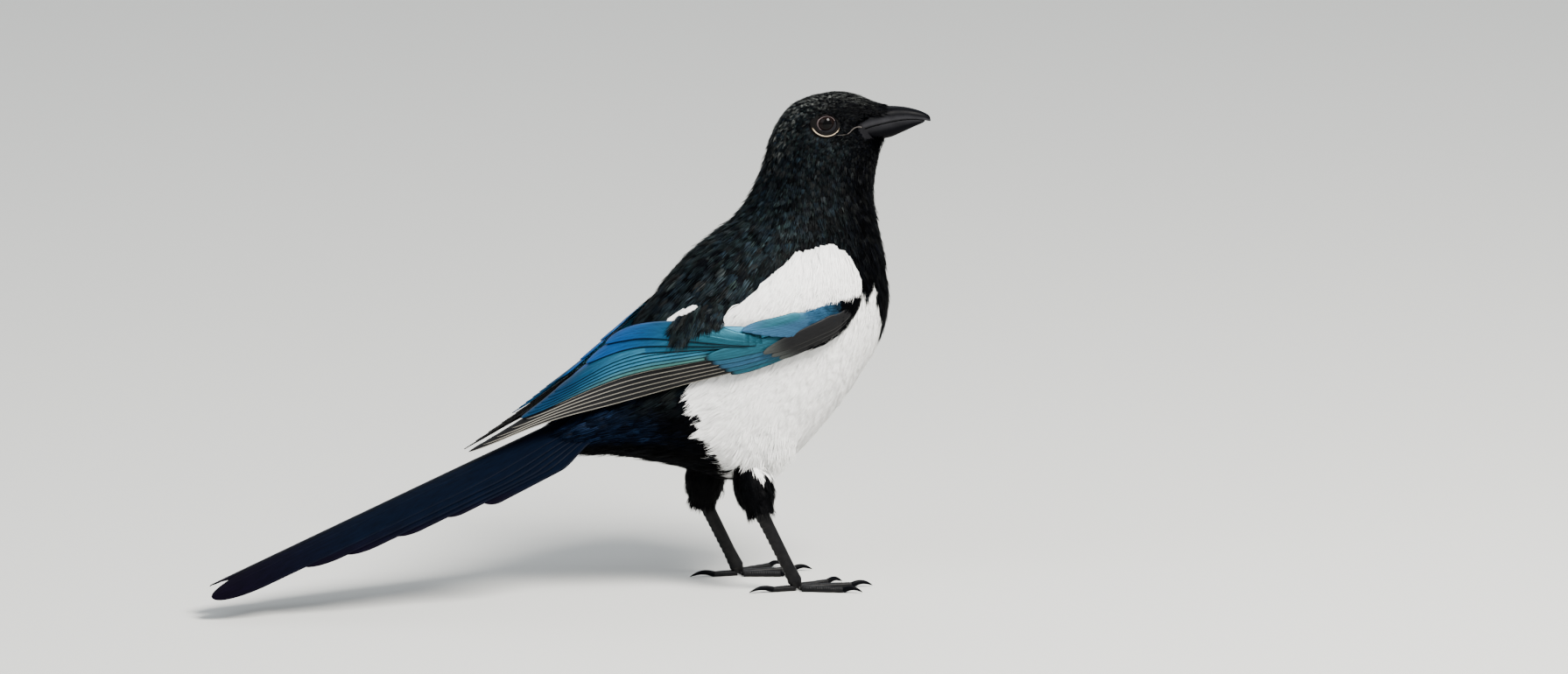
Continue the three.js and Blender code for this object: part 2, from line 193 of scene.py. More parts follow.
turns = np.linspace(0, 2 * math.pi, FLOOR_SIDES, endpoint=False)
disc = np.stack([np.cos(turns), np.sin(turns), 0 * turns], -1) * FLOOR_RADIUS
floor = build("floor", disc, [np.arange(FLOOR_SIDES)[None]], smooth=False)
floor.data.materials.append(finish("pale_floor", Base_Color=FLOOR_COLOUR, Roughness=0.9))
floor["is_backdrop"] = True

# Skin: one surface under all of the body's feathers, from the bill's root to the tail's root with
# the two feathered thighs, dark where black feathers grow and pale where white ones do.
# Each row of the body is one oval section, from the bill to the tail, in millimetres:
# x and z of its upper point, x and z of its lower point, and its half width.
BODY_ROWS = MM * np.array([
    [159.8, 229.6, 159.8, 213.9, 6.2],
    [153, 231.3, 158.1, 211.8, 7.4],
    [145.6, 234.5, 156.8, 209.2, 9.2],
    [136, 236.3, 156, 206.7, 12],
    [124.7, 234.9, 155.4, 204.2, 14.8],
    [114.7, 230.7, 154.8, 201.6, 16.4],
    [107.6, 222.7, 154.3, 199.1, 17.2],
    [103, 212.7, 153.8, 195.9, 17.8],
    [98.6, 199.2, 153.4, 190.5, 19],
    [92.5, 186.8, 153.9, 181.5, 21.5],
    [85.4, 178.2, 156.6, 168.3, 26],
    [77.4, 172, 159.3, 152, 31],
    [69, 166.1, 160.6, 132.9, 35],
    [60.7, 158.9, 155.8, 114.9, 37],
    [51.9, 149.7, 141.6, 92.5, 37],
    [42.3, 138, 124.4, 72, 35],
    [31.8, 125.5, 106.5, 56.2, 31],
    [21.3, 112.5, 85.2, 51.2, 26.5],
    [11.6, 101, 56.8, 59.2, 22],
    [2, 91, 28.3, 66.2, 18.5],
    [-9, 82.3, -2, 68.3, 13.5],
    [-25, 74.5, -25, 66, 8],
])
BODY_END = len(BODY_ROWS) - 1
HEAD_TURN = math.radians(-16)
HEAD_AXIS_X = 126 * MM
TURN_FROM, TURN_OVER = 6, 4.5
COAT_DEEP = 2.4 * MM
FACE_COAT_DEEP = 1 * MM
FACE_ENDS = (4, 10)
BILL_RECESS = 2.8 * MM
BILL_SIDE_ENDS = (1.8, 3.4)
SOCKET_AT, SOCKET_SIZE = (4.55, 67), (0.85, 26)
SOCKET_EDGE = (0.75, 1.3)
SOCKET_DEEP = 1.6 * MM
SKIN_STEPS, SKIN_AROUND = 200, 120
SKIN_DARK = (0.003, 0.003, 0.004)
SKIN_PALE = (0.55, 0.53, 0.5)
LEGS = {
    "right": MM * np.array([[84, -9, 77], [90, -22, 41], [110, -22, 3.4]]),
    "left": MM * np.array([[76, 9, 77], [76, 22, 39], [95, 22, 3.4]]),
}
THIGH_SHARES = np.array([0, 0.35, 0.7, 0.9, 1])
THIGH_RADII = MM * np.array([1.5, 6, 9.2, 8.4, 6])
THIGH_SKIN_SCALE = 0.82
THIGH_STEPS, THIGH_AROUND = 16, 28
FLESH = ["head", "neck", "trunk", "rump", "thigh_right", "thigh_left"]


def row_values(rows, at):
    """Smooth value of a table at fractional rows: a cubic through four neighbouring rows."""
    at = np.asarray(at, float)
    padded = np.vstack([2 * rows[:1] - rows[1:2], rows, 2 * rows[-1:] - rows[-2:-1]])
    i = np.clip(np.floor(at).astype(int), 0, len(rows) - 2)
    f = (at - i)[..., None]
    p0, p1, p2, p3 = (padded[i + k] for k in range(4))
    bend = (2 * p0 - 5 * p1 + 4 * p2 - p3) * f ** 2 + (3 * p1 - p0 - 3 * p2 + p3) * f ** 3
    return 0.5 * (2 * p1 + (p2 - p0) * f + bend)


def smooth_step(low, high, value):
    """0 up to low, 1 from high, and a smooth rise between."""
    share = np.clip((value - low) / (high - low), 0, 1)
    return share * share * (3 - 2 * share)


def turned(x, y, z, at):
    """A point of the straight body after the head's turn about its upright axis, which dies out
    down the neck."""
    angle = HEAD_TURN * (1 - smooth_step(TURN_FROM, TURN_FROM + TURN_OVER, at))
    dx = x - HEAD_AXIS_X
    out_x = HEAD_AXIS_X + dx * np.cos(angle) - y * np.sin(angle)
    return np.stack([out_x, dx * np.sin(angle) + y * np.cos(angle), z + 0 * out_x], -1)


def body_place(at, angle):
    """The body's outline: an oval section at each fractional row, its angle from the back
    towards the left."""
    x_top, z_top, x_low, z_low, half = np.moveaxis(row_values(BODY_ROWS, at), -1, 0)
    x = (x_top + x_low) / 2 + (x_top - x_low) / 2 * np.cos(angle)
    z = (z_top + z_low) / 2 + (z_top - z_low) / 2 * np.cos(angle)
    return turned(x, half * np.sin(angle), z, at)


def slopes(place, a, b, step=0.01):
    """Change of a surface's place for each unit of its two parameters, by central differences."""
    by_a = (place(a + step, b) - place(a - step, b)) / (2 * step)
    by_b = (place(a, b + step) - place(a, b - step)) / (2 * step)
    return by_a, by_b


def unit(vectors):
    """Vectors scaled to length one."""
    return vectors / np.maximum(np.linalg.norm(vectors, axis=-1, keepdims=True), 1e-12)


def raised(place, a, b, height):
    """A point that stands a height above a surface, along the surface's own normal."""
    by_a, by_b = slopes(place, a, b)
    return place(a, b) + unit(np.cross(by_b, by_a)) * np.asarray(height)[..., None]


# Markings, in the body's own terms: section from the bill to the tail, and degrees from the back,
# the same on both sides. White shoulder patch, belly and flanks, and a small spot behind the
# shoulder; everything else is black.
SHOULDER_PATCH = [(11.74, 117.5), (10.92, 110.7), (10.5, 96), (11.07, 74), (12.03, 66.5), (12.83, 62.5),
                  (13.6, 60), (14.8, 54), (14.4, 72), (13.5, 98), (12.6, 116)]
BELLY_PATCH = [(11.5, 116), (12.06, 126), (11.44, 136), (11.96, 137.5), (12.42, 148), (12.88, 157),
               (13.05, 181), (16.6, 181), (16.7, 163), (17.18, 152), (16.98, 97), (16.28, 65), (14.6, 80),
               (13.3, 100), (12.6, 116)]
SPOT_PATCH = [(14.3, 44), (14.4, 35), (15, 30), (15.15, 34), (14.9, 45)]


def inside(outline, at, degrees):
    """Whether points lie inside an outline, by counting its edges that a line from each crosses."""
    found = np.zeros(np.broadcast(at, degrees).shape, bool)
    for (a0, d0), (a1, d1) in zip(outline, outline[1:] + outline[:1]):
        crosses = (d0 > degrees) != (d1 > degrees)
        reach = a0 + (a1 - a0) * (degrees - d0) / ((d1 - d0) or 1)
        found ^= crosses & (at < reach)
    return found


def is_white(at, angle):
    """Whether the coat is white at this place of the body."""
    degrees = np.abs(np.degrees(angle))
    patches = (SHOULDER_PATCH, BELLY_PATCH, SPOT_PATCH)
    return np.logical_or.reduce([inside(patch, at, degrees) for patch in patches])


def coat_depth(at, angle):
    """How deep the skin lies under the coat's surface: thin on the face, deepest on the trunk,
    and drawn in where the bill's bare sides and the eyes' lids show."""
    deep = FACE_COAT_DEEP + (COAT_DEEP - FACE_COAT_DEEP) * smooth_step(*FACE_ENDS, at)
    side = np.abs(np.sin(angle)) * (1 - smooth_step(*BILL_SIDE_ENDS, at))
    beside = (np.abs(np.degrees(angle)) - SOCKET_AT[1]) / SOCKET_SIZE[1]
    socket = 1 - smooth_step(*SOCKET_EDGE, np.hypot((at - SOCKET_AT[0]) / SOCKET_SIZE[0], beside))
    return deep + BILL_RECESS * side + SOCKET_DEEP * socket


def solid(name, rings):
    """A closed mesh through rings of equal count, each end closed by a fan to the middle of its
    ring, with its faces turned outwards."""
    rows, around = rings.shape[:2]
    points = np.concatenate([rings.reshape(-1, 3), rings[:1].mean(1), rings[-1:].mean(1)])
    j = np.arange(around)
    after = (j + 1) % around
    base = (rows - 1) * around
    first = np.stack([after, j, np.full(around, rows * around)], -1)
    last = np.stack([base + j, base + after, np.full(around, rows * around + 1)], -1)
    made = build(name, points, [grid_faces(rows, around, around=True), np.concatenate([first, last])])
    made.data.calc_loop_triangles()
    corners = np.zeros(len(made.data.loop_triangles) * 3, np.int32)
    made.data.loop_triangles.foreach_get("vertices", corners)
    a, b, c = np.moveaxis(points[corners.reshape(-1, 3)], 1, 0)
    if np.einsum("ij,ij->i", a, np.cross(b, c)).sum() < 0:
        made.data.flip_normals()
    return made


def thigh_place(name, share, turn, scale=1):
    """The feathered thigh's outline: round sections along the line from hip to ankle, and a turn
    about that line."""
    hip, ankle = LEGS[name][:2]
    radius = scale * np.interp(share, THIGH_SHARES, THIGH_RADII)
    along = unit(ankle - hip)
    across = unit(np.array([-along[1], along[0], 0]))
    up = np.cross(across, along)
    ring = np.cos(turn)[..., None] * across - np.sin(turn)[..., None] * up
    return hip + np.asarray(share)[..., None] * (ankle - hip) + radius[..., None] * ring


def thigh_rings(name):
    """The thigh's sections from hip to ankle, drawn in under its coat."""
    share = np.linspace(0, 1, THIGH_STEPS)[:, None] + np.zeros(THIGH_AROUND)
    turn = np.linspace(0, 2 * math.pi, THIGH_AROUND, endpoint=False) + np.zeros((THIGH_STEPS, 1))
    return thigh_place(name, share, turn, THIGH_SKIN_SCALE)


def dress(piece, material, slot, *nodes):
    """Gives a piece its material, ties it to the bird's one body, and hides the solids it stands
    for. The slot is not used."""
    piece.data.materials.append(material)
    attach(piece, "root")
    if nodes:
        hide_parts(*nodes)


at = np.linspace(0, BODY_END, SKIN_STEPS)[:, None] + np.zeros(SKIN_AROUND)
angle = np.linspace(0, 2 * math.pi, SKIN_AROUND, endpoint=False) + np.zeros((SKIN_STEPS, 1))
skin = solid("skin", raised(body_place, at, angle, -coat_depth(at, angle)))
skin_tint = np.where(is_white(at, angle).reshape(-1, 1), SKIN_PALE, SKIN_DARK)
set_tint(skin, np.concatenate([skin_tint, [SKIN_DARK] * 2]))
thigh_skins = [solid(f"thigh_skin_{name}", thigh_rings(name)) for name in SIDES]
for thigh_skin in thigh_skins:
    set_tint(thigh_skin, [SKIN_DARK] * len(thigh_skin.data.vertices))
    union = skin.modifiers.new("union", "BOOLEAN")
    union.operation = "UNION"
    union.object = thigh_skin
skin.data = bpy.data.meshes.new_from_object(skin.evaluated_get(bpy.context.evaluated_depsgraph_get()))
skin.modifiers.clear()
for thigh_skin in thigh_skins:
    bpy.data.objects.remove(thigh_skin)
skin.data.materials.clear()
dress(skin, finish("skin", tinted=True, Roughness=0.8, Specular_IOR_Level=0.1), "plumage_black", *FLESH)

# Eyes: a wet dark brown ball with a black pupil, deep in a rim of bare dark skin whose lower fold
# shows a thin cream line.
EYE_AT = MM * np.array([129.7, 10.8, 223.1])
EYE_RADIUS = 4.8 * MM
PUPIL_RADIUS = 2.3 * MM
IRIS_RADIUS = 3.75 * MM
EYE_AHEAD = math.radians(8)
EYE_RISE = math.radians(3)
RIM_AHEAD, RIM_UP = 4.05 * MM, 3.55 * MM
LID_AHEAD, LID_ABOVE, LID_BELOW = 7.8 * MM, 4.4 * MM, 6.6 * MM
LID_BACK = 0.7 * MM
LID_SUNK = 0.35 * MM
EYE_STEPS, LID_STEPS, LID_AROUND = 64, 40, 120
EYE_SECTIONS, EYE_DEGREES, EYE_REACH = (3, 6), (35, 100), 9 * MM
POLE_GAP = 0.004
PUPIL_SOFT, IRIS_SOFT, IRIS_RING = 0.15 * MM, 0.3 * MM, 0.6
RIM_SHARE, RIM_SPREAD, RIM_HEIGHT = 0.05, 0.06, 0.3 * MM
CREAM_SHARE, CREAM_SPREAD, CREAM_HEIGHT = 0.7, 0.055, 0.45 * MM
CREAM_ENDS = (0.28, 0.6)
LID_EDGE_SUNK = 1.5 * MM
EYE_BLACK = np.full(3, 0.001)
IRIS_BROWN = np.array([0.003, 0.0014, 0.001])
RIM_GREY = np.array([0.13, 0.1, 0.1])
LID_DARK = np.array([0.0018, 0.0016, 0.0016])
LID_CREAM = np.array([0.55, 0.44, 0.31])


def eye_frame(side):
    """Centre of one eye, and its three directions: ahead, up, and out along its gaze."""
    centre = turned(EYE_AT[0], side * EYE_AT[1], EYE_AT[2], 0.0)
    ahead = np.array([math.cos(HEAD_TURN), math.sin(HEAD_TURN), 0])
    lateral = side * np.array([-math.sin(HEAD_TURN), math.cos(HEAD_TURN), 0])
    rising = np.array([0, 0, math.sin(EYE_RISE)])
    out = unit(lateral * math.cos(EYE_AHEAD) + ahead * math.sin(EYE_AHEAD) + rising)
    ahead = unit(ahead - out * (ahead @ out))
    up = np.cross(out, ahead) * -side
    return centre, ahead, up * np.sign(up[2]), out


def eye_points(side, forward, upward, outward):
    """Points by their distances from the eye's centre along its three directions."""
    centre, ahead, up, out = eye_frame(side)
    return centre + forward[..., None] * ahead + upward[..., None] * up + outward[..., None] * out


def head_height(side):
    """How far the head's outline stands out along the gaze near one eye: the quadratic in the
    distances forward and up from the eye's centre that fits the body's outline best."""
    at, angle = np.meshgrid(np.linspace(*EYE_SECTIONS, 16), side * np.radians(np.linspace(*EYE_DEGREES, 16)))
    centre, ahead, up, out = eye_frame(side)
    away = body_place(at, angle) - centre

    def terms(forward, upward):
        f, u = forward / MM, upward / MM
        return np.stack([1 + 0 * f, f, u, f * f, f * u, u * u], -1)

    near = np.hypot(away @ ahead, away @ up) < EYE_REACH
    fit = np.linalg.lstsq(terms(away @ ahead, away @ up)[near], (away @ out)[near], rcond=None)[0]
    return lambda forward, upward: terms(forward, upward) @ fit


def lid_reach(turn, share):
    """Distances forward and up from the eye's centre of a place on the lids: the share of the way
    from the rim to the lids' outer edge, at a turn about the gaze. The lids reach further back and
    down than ahead and up."""
    below = smooth_step(-0.2, 0.5, -np.sin(turn))
    high = LID_ABOVE + (LID_BELOW - LID_ABOVE) * below
    forward = (RIM_AHEAD + (LID_AHEAD - RIM_AHEAD) * share) * np.cos(turn) - LID_BACK * share
    return forward, (RIM_UP + (high - RIM_UP) * share) * np.sin(turn)


def on_lids(points, share):
    """Whether points lie over the eyes or their lids, out to this share of the lids' breadth."""
    found = np.zeros(points.shape[:-1], bool)
    for side in SIDES.values():
        centre, ahead, up, out = eye_frame(side)
        away = points - centre
        forward, upward = away @ ahead + LID_BACK * share, away @ up
        turn = np.arctan2(upward / LID_BELOW, forward / LID_AHEAD)
        edge_forward, edge_upward = lid_reach(turn, share)
        within = np.hypot(forward, upward) < np.hypot(edge_forward + LID_BACK * share, edge_upward)
        found |= within & (away @ out > 0)
    return found


eye_finish = finish("eye", tinted=True, Roughness=0.02, Specular_IOR_Level=0.08)
lid_finish = finish("eyelid", tinted=True, Roughness=0.7, Specular_IOR_Level=0.05)
for name, side in SIDES.items():
    polar = np.linspace(0, math.pi, EYE_STEPS)[:, None]
    around = np.linspace(0, 2 * math.pi, EYE_STEPS, endpoint=False)
    radius = EYE_RADIUS * np.sin(np.clip(polar, POLE_GAP, math.pi - POLE_GAP))
    ball = solid(f"eyeball_{name}", eye_points(side, radius * np.cos(around), radius * np.sin(around),
                                               EYE_RADIUS * np.cos(polar) + 0 * around))
    pupil = 1 - smooth_step(PUPIL_RADIUS - PUPIL_SOFT, PUPIL_RADIUS + PUPIL_SOFT, radius)
    pupil = pupil * (polar < math.pi / 2)
    outer = smooth_step(IRIS_RADIUS, IRIS_RADIUS + IRIS_SOFT, radius)
    iris = IRIS_BROWN * ((1 - pupil) * (1 - IRIS_RING * outer) + 0 * around)[..., None]
    set_tint(ball, np.concatenate([(EYE_BLACK + iris).reshape(-1, 3), [EYE_BLACK] * 2]))
    dress(ball, eye_finish, "eye", f"eye_{name}")

    turn = np.linspace(0, 2 * math.pi, LID_AROUND, endpoint=False)
    share = np.linspace(0, 1, LID_STEPS)[:, None]
    forward, upward = lid_reach(turn, share)
    seat = np.sqrt(np.maximum(EYE_RADIUS ** 2 - forward ** 2 - upward ** 2, 0))
    outline = head_height(side)(forward, upward) - LID_SUNK - LID_EDGE_SUNK * smooth_step(0.8, 1, share)
    settle = smooth_step(0, 0.3, share)
    rim = np.exp(-((share - RIM_SHARE) / RIM_SPREAD) ** 2)
    line = np.exp(-((share - CREAM_SHARE) / CREAM_SPREAD) ** 2) * smooth_step(*CREAM_ENDS, -np.sin(turn))
    height = seat * (1 - settle) + outline * settle + RIM_HEIGHT * rim + CREAM_HEIGHT * line
    rings = eye_points(side, forward, upward, height)
    lid = build(f"eyelid_{name}", rings, [grid_faces(LID_STEPS, LID_AROUND, around=True)[:, ::side]])
    colour = LID_DARK + (RIM_GREY - LID_DARK) * rim[..., None] + (LID_CREAM - LID_DARK) * line[..., None]
    set_tint(lid, colour)
    dress(lid, lid_finish, "eye")

# Bill: two horny halves that meet along the mouth's line, the upper a little hooked over the lower.
# Each row is x, z of the ridge, z of the cutting edge, z of the underside, and half the width.
BILL_ROWS = MM * np.array([
    [142, 225.4, 217.4, 213.2, 9.2],
    [149, 227.8, 220, 213.2, 8.2],
    [155, 228.9, 221.5, 213.5, 6.9],
    [161, 229.3, 222.6, 214.5, 5.7],
    [167, 228.9, 223.3, 217, 4.5],
    [172, 227.9, 223.3, 219.3, 3.5],
    [176.2, 226.5, 222.8, 221.1, 2.7],
    [178.6, 225.2, 222.2, 221.8, 2],
    [180.1, 224, 221.9, 221.8, 1.2],
])
LOWER_BILL_END = 6.4
GAPE_FROM, GAPE_TO, GAPE_ANGLE = 2.9, 4.95, math.radians(93)
GAPE_RADIUS = 0.3 * MM
GAPE_STEPS, GAPE_AROUND, GAPE_END = 40, 12, 0.02
GAPE_BEND, GAPE_WAVE = 0.05, 3.4
MOUTH_GAP = 0.35 * MM
LOWER_BILL_SHARE = 0.9
BILL_TIP, BILL_TIP_BLUNT = 0.5, 0.52
UPPER_SIDE, LOWER_SIDE, BILL_ARCH = 0.85, 0.7, 0.8
LIP_ENDS, LOWER_LIP = (0.08, 0.42), 0.55
HORN_DARK = np.array([0.0009, 0.001, 0.0017])
# Lighter horn along the cutting edges: partly a paler worn edge, partly a painted reflection of the pale
# floor.
HORN_EDGE_AND_REFLECTION = np.array([0.016, 0.016, 0.018])
HORN_TONE, HORN_ROUGH = (0.75, 1.3), (0.36, 0.52)


def bill_half(upper, steps=70, around=36):
    """A closed half of the bill: at each row a rounded arch from the cutting edge to the ridge or
    the underside, with the edge's narrow lip drawn in."""
    at = np.linspace(0, len(BILL_ROWS) - 1 if upper else LOWER_BILL_END, steps)
    x, ridge, edge, under, half = np.moveaxis(row_values(BILL_ROWS, at), -1, 0)[..., None]
    width = half if upper else LOWER_BILL_SHARE * half
    seam = edge + (0.5 if upper else -0.5) * MOUTH_GAP
    end = ridge if upper else under
    close = np.sqrt(1 - np.clip((at - at[-1] + BILL_TIP) / BILL_TIP_BLUNT, 0, 1) ** 2)[:, None]
    width, end = width * close, seam + (end - seam) * close
    turn = np.linspace(0, math.pi, around)
    arch = np.abs(np.sin(turn))
    y = width * np.sign(np.cos(turn)) * np.abs(np.cos(turn)) ** (UPPER_SIDE if upper else LOWER_SIDE)
    z = seam + (end - seam) * arch ** BILL_ARCH
    return turned(x + 0 * y, y, z, 0 * y)


def mapped(tree, value, ends, results, **settings):
    """A value carried from one range to another."""
    values = dict(zip(("_0", "_1", "_2", "_3", "_4"), (value, *ends, *results)))
    return add(tree, "MapRange", settings, **values).outputs[0]


def tint_times(tree, tone):
    """The tint attribute's colour, multiplied by a tone."""
    tint = add(tree, "Attribute", {"attribute_name": "tint"}).outputs["Color"]
    mix = add(tree, "Mix", {"data_type": "RGBA", "blend_type": "MULTIPLY"}, _0=1.0, _6=tint, _7=tone)
    return mix.outputs[2]


def bumped(material, height, strength, distance):
    """Feeds the normal of a material's shader from a height."""
    bump = add(material.node_tree, "Bump", Strength=strength, Distance=distance, Height=height)
    feed(material, "Normal", bump.outputs[0])


horn = finish("horn", Specular_IOR_Level=0.03)
tree = horn.node_tree
where = add(tree, "TexCoord").outputs["Object"]
grain_place = add(tree, "Mapping", Vector=where, Scale=(0.25, 1, 1))
grain = add(tree, "TexNoise", Vector=grain_place.outputs[0], Scale=900.0, Detail=3.0)
wear = add(tree, "TexNoise", Vector=where, Scale=160.0, Detail=2.0).outputs["Fac"]
feed(horn, "Base Color", tint_times(tree, mapped(tree, wear, (0.3, 0.7), HORN_TONE)))
feed(horn, "Roughness", mapped(tree, wear, (0.3, 0.7), HORN_ROUGH))
bumped(horn, grain.outputs["Fac"], 0.35, 0.05 * MM)

for piece_name, upper, node in [("upper_bill", True, "bill_upper"), ("lower_bill", False, "bill_lower")]:
    rings = bill_half(upper)
    half = solid(piece_name, rings)
    low = np.abs(np.sin(np.linspace(0, math.pi, rings.shape[1])))[None] + np.zeros(rings.shape[:2])
    # Lighter along both cutting edges, less on the lower half: a worn edge with a painted reflection of the
    # floor.
    lip = (1 - smooth_step(*LIP_ENDS, low))[..., None] * (1 if upper else LOWER_LIP)
    colour = HORN_DARK + (HORN_EDGE_AND_REFLECTION - HORN_DARK) * lip
    set_tint(half, np.concatenate([colour.reshape(-1, 3), [HORN_DARK] * 2]))
    dress(half, horn, "horn", node)


def along_path(path, radii, around, squash=1, bump=None):
    """Round sections along a path of points: each lies across the path, with its own radius, and
    bump(share, turn) adds to the radius. Turn 0 is across, and a quarter turn is up or in front."""
    tangent = unit(np.gradient(path, axis=0))
    across = unit(np.stack([-tangent[:, 1], tangent[:, 0], 0 * tangent[:, 0]], -1) + np.array([0, 1e-9, 0]))
    up = np.cross(across, tangent)
    up = up * np.sign(up[:, 2:] + 1e-9)
    turn = np.linspace(0, 2 * math.pi, around, endpoint=False)
    share = np.linspace(0, 1, len(path))[:, None]
    radius = radii[:, None] + (bump(share, turn) if bump else 0) + 0 * turn
    ring = squash * np.cos(turn)[:, None] * across[:, None] + np.sin(turn)[:, None] * up[:, None]
    return path[:, None] + radius[..., None] * ring


# A narrow pale fold of skin runs back from each corner of the mouth.
gape_finish = finish("gape", Base_Color=(0.045, 0.04, 0.036), Roughness=0.6, Specular_IOR_Level=0.1)
for name, side in SIDES.items():
    at = np.linspace(GAPE_FROM, GAPE_TO, GAPE_STEPS)
    angle = GAPE_ANGLE - GAPE_BEND * (at - GAPE_FROM) + GAPE_BEND * np.sin(GAPE_WAVE * at)
    radii = GAPE_RADIUS * np.sqrt(np.linspace(1, GAPE_END, GAPE_STEPS))
    fold = solid(f"gape_{name}", along_path(body_place(at, side * angle), radii, GAPE_AROUND))
    dress(fold, gape_finish, "horn")

# Coat: every body feather is a small fan of narrow barbs that rises from the skin to the coat's
# outline, lies along the body over the feathers behind it, and ends in a ragged round tip.
BARB_STATIONS = np.array([0, 0.5, 0.82, 1])
FEATHER_OUTLINE = np.array([0.5, 1, 0.85])
BARB_WIDTHS = (1, 1, 0.62)
BARB_POINTS = 7
BARB_LEAN = 0.035
TIP_ROUND, TIP_GATHER = 0.22, 0.33
HEIGHT_VARY = 0.06
# Feather colour runs from this share at the root to full at the tip: painted shade near the root and painted
# light on the tips.
ROOT_PAINTED_SHADE, TIP_PAINTED_LIGHT = 0.7, 0.3
GLOSS_ENDS = (0.2, 0.9)
BAKE_PATCH = 0.003
GOLDEN = (math.sqrt(5) - 1) / 2
chance = np.random.default_rng(11)


def roots(count, weight, steps=420, around=300):
    """Evenly spread places on the body: a golden lattice of the unit square, carried to sections
    and angles so that equal counts fall on equal areas times the weight."""
    at = (np.arange(steps) + 0.5)[:, None] * BODY_END / steps + np.zeros(around)
    angle = (np.arange(around) + 0.5) * 2 * math.pi / around - math.pi + np.zeros((steps, 1))
    by_at, by_angle = slopes(body_place, at, angle)
    mass = np.linalg.norm(np.cross(by_at, by_angle), axis=-1) * weight(at, angle) + 1e-15
    rows = np.cumsum(mass.sum(1)) / mass.sum()
    i = np.arange(count)
    row = np.searchsorted(rows, (i + 0.5) / count)
    before = np.where(row > 0, rows[row - 1], 0)
    part = ((i + 0.5) / count - before) / (rows[row] - before)
    along = np.cumsum(mass, 1) / mass.sum(1, keepdims=True)
    flat = (along + np.arange(steps)[:, None]).ravel()
    column = np.searchsorted(flat, row + (i * GOLDEN + 0.5) % 1) - row * around
    start = (row + part) * BODY_END / steps
    return start, (column + chance.random(count)) * 2 * math.pi / around - math.pi


def steps_for(by_a, by_b, direction):
    """How far each parameter moves for a unit of length in a direction that lies on the surface."""
    ee, ff, gg = ((u * v).sum(-1) for u, v in ((by_a, by_a), (by_a, by_b), (by_b, by_b)))
    on_a, on_b = (direction * by_a).sum(-1), (direction * by_b).sum(-1)
    area = ee * gg - ff * ff
    return (gg * on_a - ff * on_b) / area, (ee * on_b - ff * on_a) / area


def lay(place, a, b, turn, ahead, aside):
    """Parameters of points that lie ahead and aside of roots (a, b) by lengths measured on the
    surface. Ahead is the way of the first parameter, turned by an angle about the normal."""
    by_a, by_b = slopes(place, a, b)
    normal = unit(np.cross(by_b, by_a))
    forward = unit(by_a)
    heading = np.cos(turn)[:, None] * forward + np.sin(turn)[:, None] * np.cross(normal, forward)
    extra = (slice(None),) + (None,) * (ahead.ndim - 1)
    a, b = a[extra], b[extra]
    for direction, length in ((heading, ahead), (np.cross(normal, heading), aside)):
        on_a, on_b = steps_for(by_a, by_b, direction)
        a, b = a + on_a[extra] * length, b + on_b[extra] * length
    return a, b


def feathers(name, place, a, b, long, wide, turn, low, high, barbs, tint, unwrap, camber=0.12, fray=0.1,
             vary=0.06):
    """One mesh of feathers rooted at (a, b) on a surface. Each has this many barbs side by side;
    a barb is two quads and a triangle. Low and high are a feather's heights at root and tip,
    tint its colour (with gloss as a fourth number) at its tips; towards the root the colour is
    painted darker, as painted shade, so that the tips stand lighter as painted light."""
    count = len(a)
    long, wide, turn, low, high = (np.broadcast_to(each, count) for each in (long, wide, turn, low, high))
    long, wide, low, high = (each[:, None, None] for each in (long, wide, low, high))
    edges = np.linspace(-1, 1, barbs + 1)
    middle = (edges[:-1] + edges[1:]) / 2
    length_share = 1 - TIP_ROUND * middle ** 2 + fray * chance.uniform(-1, 1, (count, barbs))
    share = np.zeros((count, barbs, BARB_POINTS))
    aside = np.zeros((count, barbs, BARB_POINTS))
    lean = chance.normal(0, BARB_LEAN, (count, barbs))
    for k, keep in enumerate(BARB_WIDTHS):
        for j, side in enumerate((-1, 1)):
            share[..., 2 * k + j] = BARB_STATIONS[k] * length_share
            aside[..., 2 * k + j] = (middle + side * keep / barbs) * FEATHER_OUTLINE[k] / 2
    share[..., -1] = length_share
    aside[..., -1] = middle * TIP_GATHER
    aside = aside * wide + lean[..., None] * share * long
    across = aside / wide
    height = low + (high - low) * (1 - (1 - share) ** 2) - camber * wide * (2 * across) ** 2 * share
    height = height + chance.normal(0, HEIGHT_VARY, (count, barbs, 1)) * (high - low) * share
    point_a, point_b = lay(place, a, b, turn, share * long, aside)
    first = np.arange(count * barbs)[:, None] * BARB_POINTS
    quads = np.concatenate([first + [0, 2, 3, 1], first + [2, 4, 5, 3]])
    made = build(name, raised(place, point_a, point_b, height), [quads, first + [4, 6, 5]])
    u, v = (each[:, None, None] for each in unwrap(a, b))
    patch = np.stack([u + BAKE_PATCH * across, v + BAKE_PATCH * (share - 0.5)], -1)
    set_map(made, "OFBake", patch.reshape(-1, 2))
    uneven = 1 + vary * chance.normal(0, 1, (count, barbs, 1, 1))
    # Painted shade towards each root and painted light towards the tip, times a random tone.
    painted_shade_and_tone = (ROOT_PAINTED_SHADE + TIP_PAINTED_LIGHT * share)[..., None] * uneven
    set_tint(made, tint[:, None, None, :3] * painted_shade_and_tone)
    shine = tint[:, None, None, 3] * smooth_step(*GLOSS_ENDS, share)
    gloss = made.data.attributes.new("gloss", "FLOAT", "POINT")
    gloss.data.foreach_set("value", shine.ravel().astype(np.float32))
    return made


def body_unwrap(at, angle):
    """The skin's own unwrap: sections along one side of the square, angles along the other."""
    return 0.01 + 0.98 * at / BODY_END, 0.01 + 0.98 * (angle / (2 * math.pi) + 0.5)


